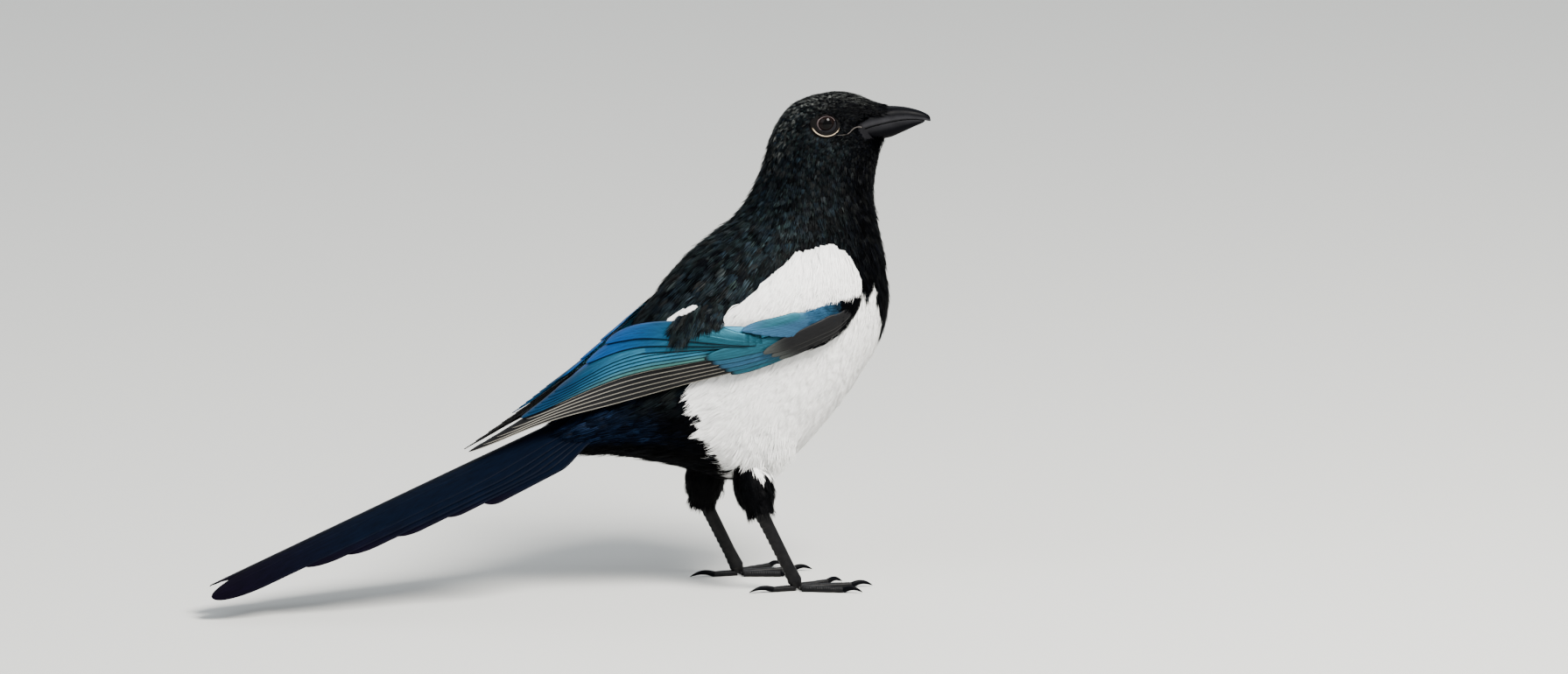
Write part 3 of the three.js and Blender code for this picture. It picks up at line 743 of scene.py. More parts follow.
# Sizes of body feathers by section: length and width.
FEATHER_SIZES = MM * np.array([
    [2.2, 1.2], [2.2, 1.2], [2.3, 1.2], [2.5, 1.3], [2.8, 1.4], [3.2, 1.5], [3.8, 1.7], [4.6, 2],
    [5.6, 2.4], [6.8, 2.9], [8, 3.4], [9, 3.9], [10, 4.3], [10.5, 4.6], [11, 4.8], [11.5, 5],
    [12, 5], [12, 5], [12, 4.8], [11, 4.4], [10, 4], [10, 4],
])
BLACK = np.array([0.0006, 0.0007, 0.0011])
GLOSS_BLUE = np.array([0.018, 0.035, 0.052])
GLOSS_GREEN = np.array([0.026, 0.042, 0.038])
# Grey added to black feathers as painted highlights, where the crown, throat and mantle catch light.
PAINTED_HIGHLIGHT_GREY = np.array([0.066, 0.07, 0.066])
COVERT_NAVY = np.array([0.0012, 0.003, 0.008])
WHITE = np.array([0.92, 0.915, 0.9])
# Where each part of the black coat starts, is whole, fades and ends, by section, and the degrees
# from the back over which it passes into the next.
MANTLE_ENDS, MANTLE_DEGREES = (7.5, 11, 15.5, 18), (45, 85)
CROWN_ENDS, CROWN_DEGREES = (1.2, 2.2, 6.5, 8.5), (15, 62)
THROAT_ENDS, THROAT_DEGREES = (2, 4, 9, 12), (50, 75)
CHEEK_ENDS, CHEEK_DEGREES = (3, 6, 9, 12), (95, 130)
TAIL_COVERTS_ENDS, TAIL_COVERTS_DEGREES = (16.5, 18), (95, 115)
# Black feathers end here above the tail's root, and white ones below it.
COAT_END_ABOVE, COAT_END_DEGREES, WHITE_END = 19.4, 100, 17.6
BARE_BILL = [(3.1, 89), (1.2, 68), (-1, 50), (-1, 140), (0.9, 134), (3.2, 113)]
WING_SHADOW = [(12.1, 110), (12.9, 95), (13.6, 76), (14.9, 50), (16, 22), (18, 12), (19.4, 20), (18.4, 38),
               (16.8, 56), (15.2, 76), (14, 96), (13.2, 108)]


def marking_place(at, angle):
    """The section that decides a feather's colour: most of its length ahead of its root, as the
    tips make the marking's edge."""
    length = row_values(FEATHER_SIZES, at)[..., 0]
    by_at = np.linalg.norm(slopes(body_place, at, angle)[0], axis=-1)
    return at + np.minimum(0.7 * length / by_at, 1)


def shows(at, angle):
    """Whether a feather's root isn't under the wing, on the lids or on the bill's bare sides."""
    degrees = np.abs(np.degrees(angle))
    bare = inside(BARE_BILL, at, degrees) | on_lids(body_place(at, angle), 0.85)
    return ~inside(WING_SHADOW, at, degrees) & ~bare


def black_weight(low, high):
    """Where black feathers root between two sections."""
    def weight(at, angle):
        over_tail = (at > COAT_END_ABOVE) & (np.abs(np.degrees(angle)) < COAT_END_DEGREES)
        black = ~over_tail & ~is_white(marking_place(at, angle), angle)
        return (at >= low) * (at < high) * black * shows(at, angle)
    return weight


def white_weight(at, angle):
    """Where white feathers root."""
    return is_white(marking_place(at, angle), angle) * shows(at, angle) * (at < WHITE_END)


def band(value, start, whole, fade, end):
    """0 up to start and from end, 1 from whole to fade, and smooth between."""
    return smooth_step(start, whole, value) * (1 - smooth_step(fade, end, value))


def black_tint(at, angle):
    """The colour of black feathers, with gloss as a fourth number: green-blue scales on the mantle,
    painted highlights as grey specks on the crown, finer ones on the throat and mantle, navy over the tail."""
    degrees = np.abs(np.degrees(angle))
    mantle = band(at, *MANTLE_ENDS) * (1 - smooth_step(*MANTLE_DEGREES, degrees))
    crown = band(at, *CROWN_ENDS) * (1 - smooth_step(*CROWN_DEGREES, degrees))
    throat = band(at, *THROAT_ENDS) * smooth_step(*THROAT_DEGREES, degrees)
    cheek = band(at, *CHEEK_ENDS) * (1 - smooth_step(*CHEEK_DEGREES, degrees))
    coverts = smooth_step(*TAIL_COVERTS_ENDS, at) * (1 - smooth_step(*TAIL_COVERTS_DEGREES, degrees))
    vary = chance.uniform(0, 1, at.shape) ** 2
    gloss = ((0.5 * mantle + 0.22 * cheek) * vary)[..., None]
    hue = chance.uniform(0, 1, at.shape)[..., None]
    shine = GLOSS_BLUE * hue + GLOSS_GREEN * (1 - hue)
    # Painted highlights: grey specks, most on the crown, fewer on the mantle and throat.
    painted_highlight = (1.2 * crown + 0.1 * throat + 0.2 * mantle) * chance.uniform(0, 1, at.shape) ** 4
    dark = BLACK + (COVERT_NAVY - BLACK) * coverts[..., None]
    base = dark * np.exp(0.55 * chance.normal(0, 1, at.shape))[..., None]
    return np.concatenate([base + shine * gloss + PAINTED_HIGHLIGHT_GREY * painted_highlight[..., None], gloss], -1)


def white_tint(at, angle, brightest=1.03):
    """The colour of white feathers, without gloss."""
    base = WHITE * chance.uniform(0.94, brightest, at.shape)[..., None]
    return np.concatenate([base, np.zeros_like(base[..., :1])], -1)


def body_coat(name, count, barbs, weight, colour, loose=0.22, camber=0.12, vary=0.4):
    """Feathers of one stretch of the body, sized by section. Loose is how unevenly the tips lie."""
    at, angle = roots(count, weight)
    long, wide = np.moveaxis(row_values(FEATHER_SIZES, at), -1, 0)
    long = long * chance.uniform(0.85, 1.15, count)
    by_at = np.linalg.norm(slopes(body_place, at, angle)[0], axis=-1)
    for reach in (1, 0.7, 0.5):
        long = np.where(on_lids(body_place(at + reach * long / by_at, angle), 0.6), 0.6 * long, long)
    deep = coat_depth(at, angle)
    tip = -0.12 * deep + loose * deep * chance.normal(0, 1, count)
    turn = chance.normal(0, 0.08, count)
    return feathers(name, body_place, at, angle, long, wide, turn, -deep, tip, barbs, colour(at, angle),
                    body_unwrap, camber=camber, vary=vary)


def plumage(name, roughness, specular):
    """The finish of a coat: its colour from the feathers, and their gloss as a metal-like shine."""
    made = finish(name, tinted=True, Roughness=roughness, Specular_IOR_Level=specular)
    gloss = add(made.node_tree, "Attribute", {"attribute_name": "gloss"})
    feed(made, "Metallic", gloss.outputs["Fac"])
    return made


black_plumage = plumage("black_plumage", 0.5, 0.012)
white_plumage = plumage("white_plumage", 0.8, 0.3)
mixed_plumage = plumage("mixed_plumage", 0.6, 0.03)

for piece_name, count, barbs, low, high in [
    ("coat_face", 5200, 5, 0.3, 4.6),
    ("coat_head", 5200, 5, 4.6, 7),
    ("coat_neck", 5000, 7, 7, 10.5),
    ("coat_mantle", 4200, 9, 10.5, 15),
    ("coat_rump", 3800, 9, 15, 20.6),
]:
    coat = body_coat(piece_name, count, barbs, black_weight(low, high), black_tint)
    dress(coat, black_plumage, "plumage_black")
coat = body_coat("coat_white", 4300, 9, white_weight, white_tint, loose=0.08, camber=0.05, vary=0.04)
dress(coat, white_plumage, "plumage_white")

# Thighs: the feathered upper legs, shaggy black boots down to the ankle. White flank feathers hang
# from the body over their upper outer side.
THIGH_COUNT = 1300
THIGH_FEATHER = (8 * MM, 2.6 * MM)
WHITE_ABOVE_OUTSIDE, WHITE_ABOVE_INSIDE = 56.5 * MM, 66 * MM
WHITE_LOWEST_X, WHITE_RISE = 89 * MM, 0.6
FLANK_COUNT = 220
FLANK_FEATHER = (14 * MM, 5 * MM)
FLANK_DEGREES = (96, 138)
FLANK_TURN = (math.radians(15), math.radians(68))
FLANK_LIFT = 4.5 * MM
FLANK_SECTIONS, FLANK_LOOSE_FROM = (14.9, 16.25), 15.8


def thigh_unwrap(share, turn):
    """The thighs lie in two small corners of the skin's unwrap, past the tail's root."""
    return 0.9 + 0.09 * share, 0.01 + 0.09 * ((turn / (2 * math.pi)) % 1)


def lattice(count):
    """Even places in the unit square: a share along and a share across for each."""
    number = np.arange(count)
    return (number + 0.5) / count, (number * GOLDEN) % 1


def flank_weight(side):
    """Where the loose flank feathers root on one side."""
    def weight(at, angle):
        degrees = side * np.degrees(angle)
        along = (at > FLANK_SECTIONS[0]) * (at < FLANK_SECTIONS[1])
        return along * (degrees > FLANK_DEGREES[0]) * (degrees < FLANK_DEGREES[1]) * 1.0
    return weight


for name, side in SIDES.items():
    along, turn = lattice(THIGH_COUNT)
    share, turn = 0.97 * along, 2 * math.pi * turn
    tip = thigh_place(name, np.minimum(share + 0.15, 1), turn)
    outer = side * (tip[:, 1] - LEGS[name][1, 1]) > -2 * MM
    rise = WHITE_RISE * np.maximum(WHITE_LOWEST_X - tip[:, 0], 0)
    line = np.where(outer, WHITE_ABOVE_OUTSIDE + rise, WHITE_ABOVE_INSIDE)
    pale = tip[:, 2] + chance.normal(0, 1.5 * MM, THIGH_COUNT) > line
    tint = np.where(pale[:, None], [*WHITE, 0], [*BLACK, 0])
    long = THIGH_FEATHER[0] * chance.uniform(0.8, 1.25, THIGH_COUNT)
    high = chance.normal(0.5 * MM, 0.5 * MM, THIGH_COUNT)
    slant = chance.normal(0, 0.15, THIGH_COUNT)
    tufts = feathers(f"coat_thigh_{name}", lambda a, b: thigh_place(name, a, b), share, turn, long,
                     THIGH_FEATHER[1], slant, -1.2 * MM, high, 7, tint, thigh_unwrap, fray=0.2)
    dress(tufts, mixed_plumage, "plumage_black")

    at, angle = roots(FLANK_COUNT, flank_weight(side))
    long = FLANK_FEATHER[0] * chance.uniform(0.75, 1.15, FLANK_COUNT)
    under = smooth_step(*FLANK_DEGREES, side * np.degrees(angle))
    under = under * smooth_step(FLANK_SECTIONS[0], FLANK_LOOSE_FROM, at)
    turn = -side * (FLANK_TURN[0] + (FLANK_TURN[1] - FLANK_TURN[0]) * under)
    turn = turn + chance.normal(0, 0.08, FLANK_COUNT)
    high = FLANK_LIFT * under + chance.normal(0.3 * MM, 0.3 * MM, FLANK_COUNT)
    flank = feathers(f"flank_fringe_{name}", body_place, at, angle, long, FLANK_FEATHER[1], turn, -2 * MM,
                     high, 11, white_tint(at, angle), body_unwrap, camber=0.04, fray=0.15, vary=0.04)
    dress(flank, white_plumage, "plumage_white")

# Shoulder feathers: long loose white plumes that stand up from the body in a soft pad and lie over
# the wing's upper edge. Each row of the pad is degrees from the back, its front and rear section.
SCAPULAR_ROWS = np.array([[113, 11.4, 11.95], [103, 10.8, 12.25], [90, 10.7, 12.75], [75, 11.2, 13.4],
                          [60, 12, 14.1], [45, 12.9, 14.55], [32, 13.7, 15]])
SHOULDER_LIFT = 4.2 * MM
SHOULDER_COUNT = 900
SHOULDER_FEATHER = (13 * MM, 6 * MM)
SHOULDER_SUNK = 2.5 * MM
PAD_TOP, PAD_FOOT = (24, 45), (108, 122)


def shoulder_lift(at, angle):
    """Height of the shoulder pad above the body: a low arch from its front to its rear section,
    fading out past its two ends."""
    degrees = np.abs(np.degrees(angle))
    front, rear = (np.interp(degrees, SCAPULAR_ROWS[::-1, 0], SCAPULAR_ROWS[::-1, k]) for k in (1, 2))
    share = np.clip((at - front) / (rear - front), -0.15, 1.1)
    arch = np.sin(math.pi * (0.15 + 0.75 * share))
    ends = smooth_step(*PAD_TOP, degrees) * (1 - smooth_step(*PAD_FOOT, degrees))
    return SHOULDER_LIFT * (0.15 + 0.95 * arch) * ends


def patch_weight(side, outline, *shifts):
    """Where feathers root on one side, so that places these sections ahead are inside an outline."""
    def weight(at, angle):
        degrees = side * np.degrees(angle)
        return np.logical_and.reduce([inside(outline, at + shift, degrees) for shift in shifts]) * 1.0
    return weight


for name, side in SIDES.items():
    at, angle = roots(SHOULDER_COUNT, patch_weight(side, SHOULDER_PATCH, 0.1, 0.5))
    long = SHOULDER_FEATHER[0] * chance.uniform(0.8, 1.15, SHOULDER_COUNT)
    wide = SHOULDER_FEATHER[1] * chance.uniform(0.85, 1.15, SHOULDER_COUNT)
    lift = shoulder_lift(at + 0.4, angle)
    tint = white_tint(at, angle, 1.04)
    turn = chance.normal(0, 0.07, SHOULDER_COUNT)
    high = lift + chance.normal(0.5 * MM, 0.2 * MM, SHOULDER_COUNT)
    plumes = feathers(f"shoulder_plumes_{name}", body_place, at, angle, long, wide, turn,
                      lift - SHOULDER_SUNK, high, 13, tint, body_unwrap, camber=0.08)
    dress(plumes, white_plumage, "plumage_white", f"scapulars_{name}")

# Folded wing: one surface that carries all of the wing's feathers. Each row runs from the wrist to
# the tip: x, y, z of the lower edge, x, y, z of the upper edge, y outwards, and the bulge between.
WING_ROWS = MM * np.array([
    [137.8, 34, 142.4, 137.4, 33.6, 145.2, 0.3],
    [125.5, 38.4, 127.5, 125.5, 38.4, 141.2, 0.8],
    [111, 40.4, 120.8, 111, 40.4, 139.4, 1.2],
    [85.4, 39.6, 111.8, 86, 39, 136.8, 1.8],
    [49, 32, 102.8, 54, 26.5, 135, 5.2],
    [18, 22.5, 95.4, 27, 5.5, 124.5, 3.6],
    [-16, 14, 87, -4, 2.6, 101.6, 1.6],
    [-49.5, 6, 73.4, -48.5, 2.4, 75.6, 0.3],
])
WING_END = len(WING_ROWS) - 1
CORE_TOP, CORE_THICK, CORE_THIN_AT = -3 * MM, 3.5 * MM, 8
CORE_SECTIONS, CORE_ACROSS = (0.15, 5.7), (0.06, 0.94)
VANE_THICK = 0.22 * MM
SHAFT_AT = 0.35
BLADE_WHOLE, VANE_CROWN, TIP_BLUNT = 0.35, 0.03, 0.0012


def wing_surface(side):
    """The outer face of one folded wing. Its second parameter is the share across from the lower
    edge to the upper, negative on the left wing so that the faces point outwards on both."""
    def place(at, across):
        across = -side * across
        value = row_values(WING_ROWS, at)
        chord = value[..., 3:6] - value[..., :3]
        before = row_values(WING_ROWS, np.maximum(at - 0.2, 0))[..., :3]
        after = row_values(WING_ROWS, np.minimum(at + 0.2, WING_END))[..., :3]
        outwards = unit(np.cross(before - after, chord))
        outwards = outwards * np.sign(outwards[..., 1:2])
        bulge = value[..., 6] * 4 * across * (1 - across)
        point = value[..., :3] + chord * across[..., None] + outwards * bulge[..., None]
        return point * np.array([1, side, 1])
    return place


def vanes(name, place, side, start, end, width, low, high, tint, shaft=SHAFT_AT, round_share=0.14,
          steps=34, across=11, root_share=0.5, taper=0.25):
    """One mesh of long flat feathers on a surface. Start and end are the two ends of each one's
    lower or inner edge, on the surface; its blade reaches its width from that edge towards the
    upper or outer side, on the named side of the bird. The tip rounds in towards the shaft."""
    count = len(start)
    width, low, high = (np.broadcast_to(each, count)[:, None] for each in (width, low, high))
    share = 1 - (1 - np.linspace(0, 1, steps)) ** 1.5
    a = start[:, :1] + (end - start)[:, :1] * share
    b = start[:, 1:] + (end - start)[:, 1:] * share
    edge = place(a, b)
    run = np.cumsum(np.linalg.norm(np.diff(edge, axis=1, prepend=edge[:, :1]), axis=-1), 1)
    by_a, by_b = slopes(place, a, b)
    normal = unit(np.cross(by_b, by_a))
    heading = unit(np.gradient(edge, axis=1))
    a_each, b_each = steps_for(by_a, by_b, side * np.cross(normal, heading))
    narrow = (root_share + (1 - root_share) * smooth_step(0, BLADE_WHOLE, share)) * (1 - taper * share)
    over = np.clip((share - 1 + round_share) / round_share, 0, 1)
    rounded = np.sqrt(np.maximum(1 - over ** 2, TIP_BLUNT))
    v = np.linspace(0, 1, across)
    out = width[..., None] * narrow[:, None] * (shaft + (v - shaft) * rounded[:, None])
    point_a = a[..., None] + a_each[..., None] * out
    point_b = b[..., None] + b_each[..., None] * out
    crown = -VANE_CROWN * width[..., None] * (2 * (v - shaft)) ** 2 * narrow[:, None]
    height = (low + (high - low) * share)[..., None] + crown
    points = raised(place, point_a, point_b, height)
    faces = grid_faces(steps, across)
    corner = points[0].reshape(-1, 3)[faces[len(faces) // 2]]
    facing = np.cross(corner[1] - corner[0], corner[3] - corner[0]) @ normal[0, steps // 2]
    faces = faces if facing > 0 else faces[:, ::-1]
    every = (faces[None] + (np.arange(count) * steps * across)[:, None, None]).reshape(-1, 4)
    made = build(name, points, [every])
    plain = np.zeros((count, steps, across))
    strip = (np.arange(count)[:, None, None] + 0.04 + 0.92 * (v + plain)) / count
    set_map(made, "OFBake", np.stack([strip, 0.01 + 0.98 * share[:, None] + plain], -1).reshape(-1, 2))
    set_map(made, "vane", np.stack([v + plain, run[..., None] * 100 + plain], -1).reshape(-1, 2))
    member = np.arange(count)[:, None, None] / max(count - 1, 1)
    set_tint(made, tint(member, share[:, None] + plain))
    thick = made.modifiers.new("thickness", "SOLIDIFY")
    thick.thickness = VANE_THICK
    thick.offset = -1
    return made


# The barbs of a flat feather: fine ridges that run out from the shaft at a slant, and streaks of
# like tone. The group reads the feather's own map: share across, and length in centimetres.
BARB_SLANT = math.radians(32)
BARBS_FINE, STREAKS_FINE = 26, 9
BARB_TONE, STREAK_TONE = 0.5, 0.6
SHAFT_WIDTH, SHAFT_HEIGHT = 0.05, 1.5
EDGE_ENDS = (0.035, 0.08)
VANE_TONE = (0.55, 1.35)
ROUGH_VARY = 0.08
BARB_HEIGHT = 0.12 * MM
barbs_group = bpy.data.node_groups.new("feather_barbs", "ShaderNodeTree")
barbs_group.interface.new_socket("Shaft", in_out="INPUT", socket_type="NodeSocketFloat")
barbs_group.interface.new_socket("Width", in_out="INPUT", socket_type="NodeSocketFloat")
for output in ("Height", "Tone", "Edge"):
    barbs_group.interface.new_socket(output, in_out="OUTPUT", socket_type="NodeSocketFloat")


def reckon(tree, operation, *values):
    """The result of a math node on these values or links."""
    node = add(tree, "Math", {"operation": operation}, **{f"_{k}": value for k, value in enumerate(values)})
    return node.outputs[0]


inputs = barbs_group.nodes.new("NodeGroupInput").outputs
results = barbs_group.nodes.new("NodeGroupOutput").inputs
vane_map = add(barbs_group, "UVMap", {"uv_map": "vane"})
split = add(barbs_group, "SeparateXYZ", _0=vane_map.outputs["UV"]).outputs


def streaks(across, fineness, **settings):
    """Noise drawn out along the feather, in lines this fine across it."""
    x = reckon(barbs_group, "MULTIPLY", across, fineness)
    place = add(barbs_group, "CombineXYZ", X=x, Y=split["Y"]).outputs[0]
    return add(barbs_group, "TexNoise", Vector=place, Scale=1.0, **settings).outputs["Fac"]


from_shaft = reckon(barbs_group, "ABSOLUTE", reckon(barbs_group, "SUBTRACT", split["X"], inputs["Shaft"]))
outwards = reckon(barbs_group, "MULTIPLY", from_shaft, inputs["Width"])
slanted = reckon(barbs_group, "MULTIPLY_ADD", split["Y"], math.sin(BARB_SLANT),
                 reckon(barbs_group, "MULTIPLY", outwards, -math.cos(BARB_SLANT)))
barb_noise = streaks(slanted, BARBS_FINE, Detail=3.0, Roughness=0.6)
streak_noise = streaks(outwards, STREAKS_FINE, Detail=2.0)
ridge = mapped(barbs_group, from_shaft, (0, SHAFT_WIDTH), (SHAFT_HEIGHT, 0), interpolation_type="SMOOTHSTEP")
tone = reckon(barbs_group, "MULTIPLY_ADD", barb_noise, BARB_TONE,
              reckon(barbs_group, "MULTIPLY", streak_noise, STREAK_TONE))
edge_line = mapped(barbs_group, split["X"], EDGE_ENDS, (1, 0), interpolation_type="SMOOTHSTEP")
barbs_group.links.new(reckon(barbs_group, "ADD", barb_noise, ridge), results["Height"])
barbs_group.links.new(tone, results["Tone"])
barbs_group.links.new(edge_line, results["Edge"])


def vane_finish(name, roughness, metal, width, edge, edge_colour, bump, sheen=0.12):
    """The finish of a flat feather: its own colours, streaked along the barbs, a line of another
    colour down the free edge, and the barbs' fine ridges."""
    made = finish(name, Metallic=metal, Specular_IOR_Level=sheen)
    tree = made.node_tree
    barbs = add(tree, "Group", {"node_tree": barbs_group}, Shaft=SHAFT_AT, Width=width).outputs
    toned = tint_times(tree, mapped(tree, barbs["Tone"], (0.35, 0.75), VANE_TONE))
    edged = add(tree, "Mix", {"data_type": "RGBA"}, _0=reckon(tree, "MULTIPLY", barbs["Edge"], edge),
                _6=toned, _7=edge_colour)
    feed(made, "Base Color", edged.outputs[2])
    rough_ends = (roughness + ROUGH_VARY, roughness - ROUGH_VARY)
    feed(made, "Roughness", mapped(tree, barbs["Tone"], (0.3, 0.8), rough_ends))
    bumped(made, barbs["Height"], bump, BARB_HEIGHT)
    return made


NAVY = (0.003, 0.009, 0.025)
TEAL = (0.028, 0.135, 0.21)
DEEP_TEAL = (0.011, 0.06, 0.085)
DEEP_BLUE = (0.003, 0.03, 0.08)
GREEN_TEAL = (0.045, 0.13, 0.12)
BLUE = (0.005, 0.065, 0.23)
SLATE_BLUE = (0.02, 0.062, 0.115)
CHARCOAL = (0.004, 0.004, 0.0045)
ASH = (0.25, 0.235, 0.2)
SECONDARY_EDGE = (0.001, 0.003, 0.006)
COVERT_EDGE, COVERT_TIP = (0.002, 0.006, 0.012), (0.002, 0.003, 0.004)
ALULA_EDGE, ALULA_TIP = (0.03, 0.029, 0.028), (0.03, 0.033, 0.031)


def vane_tint(*stops, tip=None, tip_from=1):
    """The colours of a group of feathers: each one's own, from stops of a share of the group and
    a colour, and another that comes in from a share of its length to its tip."""
    places, colours = zip(*stops)

    def tint(member, share):
        base = np.stack([np.interp(member + 0 * share, places, part) for part in zip(*colours)], -1)
        if tip is None:
            return base
        mix = smooth_step(tip_from, 1, share)[..., None]
        return base * (1 - mix) + np.array(tip) * mix
    return tint


primary_finish = vane_finish("primary_vane", 0.45, 0.1, 0.8, 0.8, ASH, bump=0.15)
secondary_finish = vane_finish("secondary_vane", 0.38, 0.6, 1.1, 0.85, SECONDARY_EDGE, bump=0.35)
covert_finish = vane_finish("covert_vane", 0.48, 0.45, 0.7, 0.5, COVERT_EDGE, bump=0.3)
alula_finish = vane_finish("alula_vane", 0.5, 0.05, 0.8, 0.5, ALULA_EDGE, bump=0.2)

# Each group of long wing feathers: how many, where its first and last feather start and where they
# end on the wing (section, and share across of the lower edge), width, heights at root and tip of
# the first feather and of the last in millimetres, colours, finish, round of the tip, and the node
# that it stands for.
WING_GROUPS = [
    ("primary_vanes", 6, (2.3, 0.02), (2.6, 0.36), (7, 0), (6.05, 0.32), 8.5, (-3.2, -1.5), (-2.1, -0.4),
     vane_tint((0, CHARCOAL)), primary_finish, 0.1, "primaries"),
    ("secondary_vanes", 6, (2.5, 0.37), (2.7, 0.6), (6.3, 0.32), (5.9, 0.58), 9.5, (-1.3, 0.2), (-0.1, 1.4),
     vane_tint((0, GREEN_TEAL), (0.4, TEAL), tip=DEEP_BLUE, tip_from=0.5), secondary_finish, 0.12,
     "secondaries"),
    ("tertial_vanes", 3, (3, 0.46), (3.2, 0.5), (5.75, 0.66), (5.2, 0.9), 11.5, (0.5, 1), (1.7, 2.2),
     vane_tint((0, DEEP_TEAL), tip=BLUE, tip_from=0.35), secondary_finish, 0.2, None),
    ("primary_coverts", 5, (2.2, 0.02), (2.4, 0.34), (3.4, 0), (3.75, 0.33), 7, (-1, 0.1), (0.1, 1.1),
     vane_tint((0, DEEP_TEAL), (0.6, SLATE_BLUE), (1, DEEP_TEAL), tip=COVERT_TIP, tip_from=0.93),
     covert_finish, 0.25, None),
    ("greater_coverts", 8, (0.9, 0.36), (2, 0.66), (2.35, 0.36), (3.3, 0.7), 7.5, (0, 1.6), (0.9, 2.3),
     vane_tint((0, NAVY), (0.4, SLATE_BLUE), (0.75, SLATE_BLUE), (1, DEEP_TEAL), tip=SLATE_BLUE,
               tip_from=0.6), covert_finish, 0.3, "coverts"),
    ("alula_vanes", 3, (0.5, 0.1), (0.7, 0.32), (2.7, 0.02), (2.98, 0.24), 7.5, (0.8, 1.4), (1.3, 2),
     vane_tint((0, CHARCOAL), tip=ALULA_TIP, tip_from=0.8), alula_finish, 0.25, None),
]
core_finish = finish("wing_core", Base_Color=(0.006, 0.006, 0.008), Roughness=0.8)
for name, side in SIDES.items():
    place = wing_surface(side)
    at, across = np.linspace(*CORE_SECTIONS, 40), -side * np.linspace(*CORE_ACROSS, 12)
    at, across = np.meshgrid(at, across, indexing="ij")
    outer = raised(place, at, across, CORE_TOP)
    inner = raised(place, at, across, CORE_TOP - CORE_THICK * (1 - at / CORE_THIN_AT))
    core = solid(f"wing_core_{name}", np.concatenate([outer, inner[:, ::-1]], 1))
    dress(core, core_finish, "plumage_black")
    for piece_name, count, *places, width, first, last, tint, look, tip, node in WING_GROUPS:
        start_first, start_last, end_first, end_last = np.array(places) * [1, -side]
        member = np.linspace(0, 1, count)[:, None]
        start = start_first + (start_last - start_first) * member
        end = end_first + (end_last - end_first) * member
        low, high = MM * (np.array(first) + (np.array(last) - first) * member).T
        group = vanes(f"{piece_name}_{name}", place, side, start, end, width * MM, low, high, tint,
                      round_share=tip)
        slot = "plumage_grey" if look in (primary_finish, alula_finish) else "plumage_blue"
        dress(group, look, slot, *([f"{node}_{name}"] if node else []))

# Small feathers over the wing: black ones round the wrist that turn blue up the shoulder, and the
# shaggy black end of the mantle that hangs over the wing's upper edge.
WRIST_COUNT = 260
WRIST_FEATHER = (7 * MM, 3.6 * MM)
WRIST_GLOSS = 0.45
DRAPE_COUNT = 300
DRAPE_FEATHER = (10.5 * MM, 2.6 * MM)
DRAPE_TURN = math.radians(72)
DRAPE_FROM, DRAPE_OVER = 3.55, 0.6
SPOT_COUNT = 70
SPOT_FEATHER = (8.5 * MM, 4.2 * MM)


def wing_unwrap(at, across):
    """The wing's own unwrap: section along, share across."""
    return 0.02 + 0.96 * at / WING_END, 0.02 + 0.96 * np.abs(across)


for name, side in SIDES.items():
    along, beside = lattice(WRIST_COUNT)
    at, share = 0.05 + 1.9 * along, 0.06 + 0.9 * beside
    blue = (smooth_step(0.5, 1.6, at) * smooth_step(0.45, 0.75, share))[:, None]
    colour = BLACK * (1 - blue) + np.array(SLATE_BLUE) * blue
    tint = np.concatenate([colour * chance.uniform(0.8, 1.2, (WRIST_COUNT, 1)), WRIST_GLOSS * blue], -1)
    long = WRIST_FEATHER[0] * chance.uniform(0.8, 1.2, WRIST_COUNT)
    turn = chance.normal(0, 0.08, WRIST_COUNT)
    high = chance.normal(1.1 * MM, 0.15 * MM, WRIST_COUNT)
    wrist = feathers(f"wrist_feathers_{name}", wing_surface(side), at, -side * share, long, WRIST_FEATHER[1],
                     turn, -0.6 * MM, high, 9, tint, wing_unwrap, camber=0.1)
    dress(wrist, black_plumage, "plumage_blue")

    along, beside = lattice(DRAPE_COUNT)
    at = DRAPE_FROM + DRAPE_OVER * along
    share = 0.92 + 0.25 * beside - 0.12 * smooth_step(3.75, 4.1, at)
    high = 2.2 * MM + 0.6 * MM * chance.random(DRAPE_COUNT)
    long = DRAPE_FEATHER[0] * chance.uniform(0.65, 1.1, DRAPE_COUNT)
    long = long * (0.5 + 0.5 * smooth_step(DRAPE_FROM, 3.95, at))
    turn = -side * DRAPE_TURN + chance.normal(0, 0.2, DRAPE_COUNT)
    # The mantle's black colours, with their gloss and painted highlight specks.
    tint = black_tint(14 + 0 * at, 0.9 + 0 * at)
    drape = feathers(f"mantle_drape_{name}", wing_surface(side), at, -side * share, long, DRAPE_FEATHER[1],
                     turn, high - 0.6 * MM, high, 9, tint, wing_unwrap, fray=0.25, vary=0.3)
    dress(drape, black_plumage, "plumage_black")

    at, angle = roots(SPOT_COUNT, patch_weight(side, SPOT_PATCH, 0.12))
    long = SPOT_FEATHER[0] * chance.uniform(0.8, 1.15, SPOT_COUNT)
    turn = -side * 0.2 + chance.normal(0, 0.12, SPOT_COUNT)
    high = chance.normal(1.8 * MM, 0.3 * MM, SPOT_COUNT)
    spot = feathers(f"shoulder_spot_{name}", body_place, at, angle, long, SPOT_FEATHER[1], turn, 0.2 * MM,
                    high, 9, white_tint(at, angle), body_unwrap, fray=0.15)
    dress(spot, white_plumage, "plumage_white")

# Tail: six long flat feathers each side, the middle pair longest and on top, folded into a roof
# that is rolled a little to the bird's right.
TAIL_ROOT_X, TAIL_ROOT_Z = 12 * MM, 91.2 * MM
TAIL_SLOPE = math.atan(0.402)
TAIL_LENGTHS = MM * np.array([203, 156, 136, 110, 84, 63])
TAIL_PITCH = 0.9 * MM
TAIL_INNER = MM * np.array([0.2, 1.6, 3, 4.6, 6.6, 8.8])
TAIL_OUTER = MM * np.array([14.5, 18, 20.5, 22.5, 24, 27])
TAIL_ROOF = 0.42
TAIL_BEND = 6
TAIL_ROLL = math.radians(11)


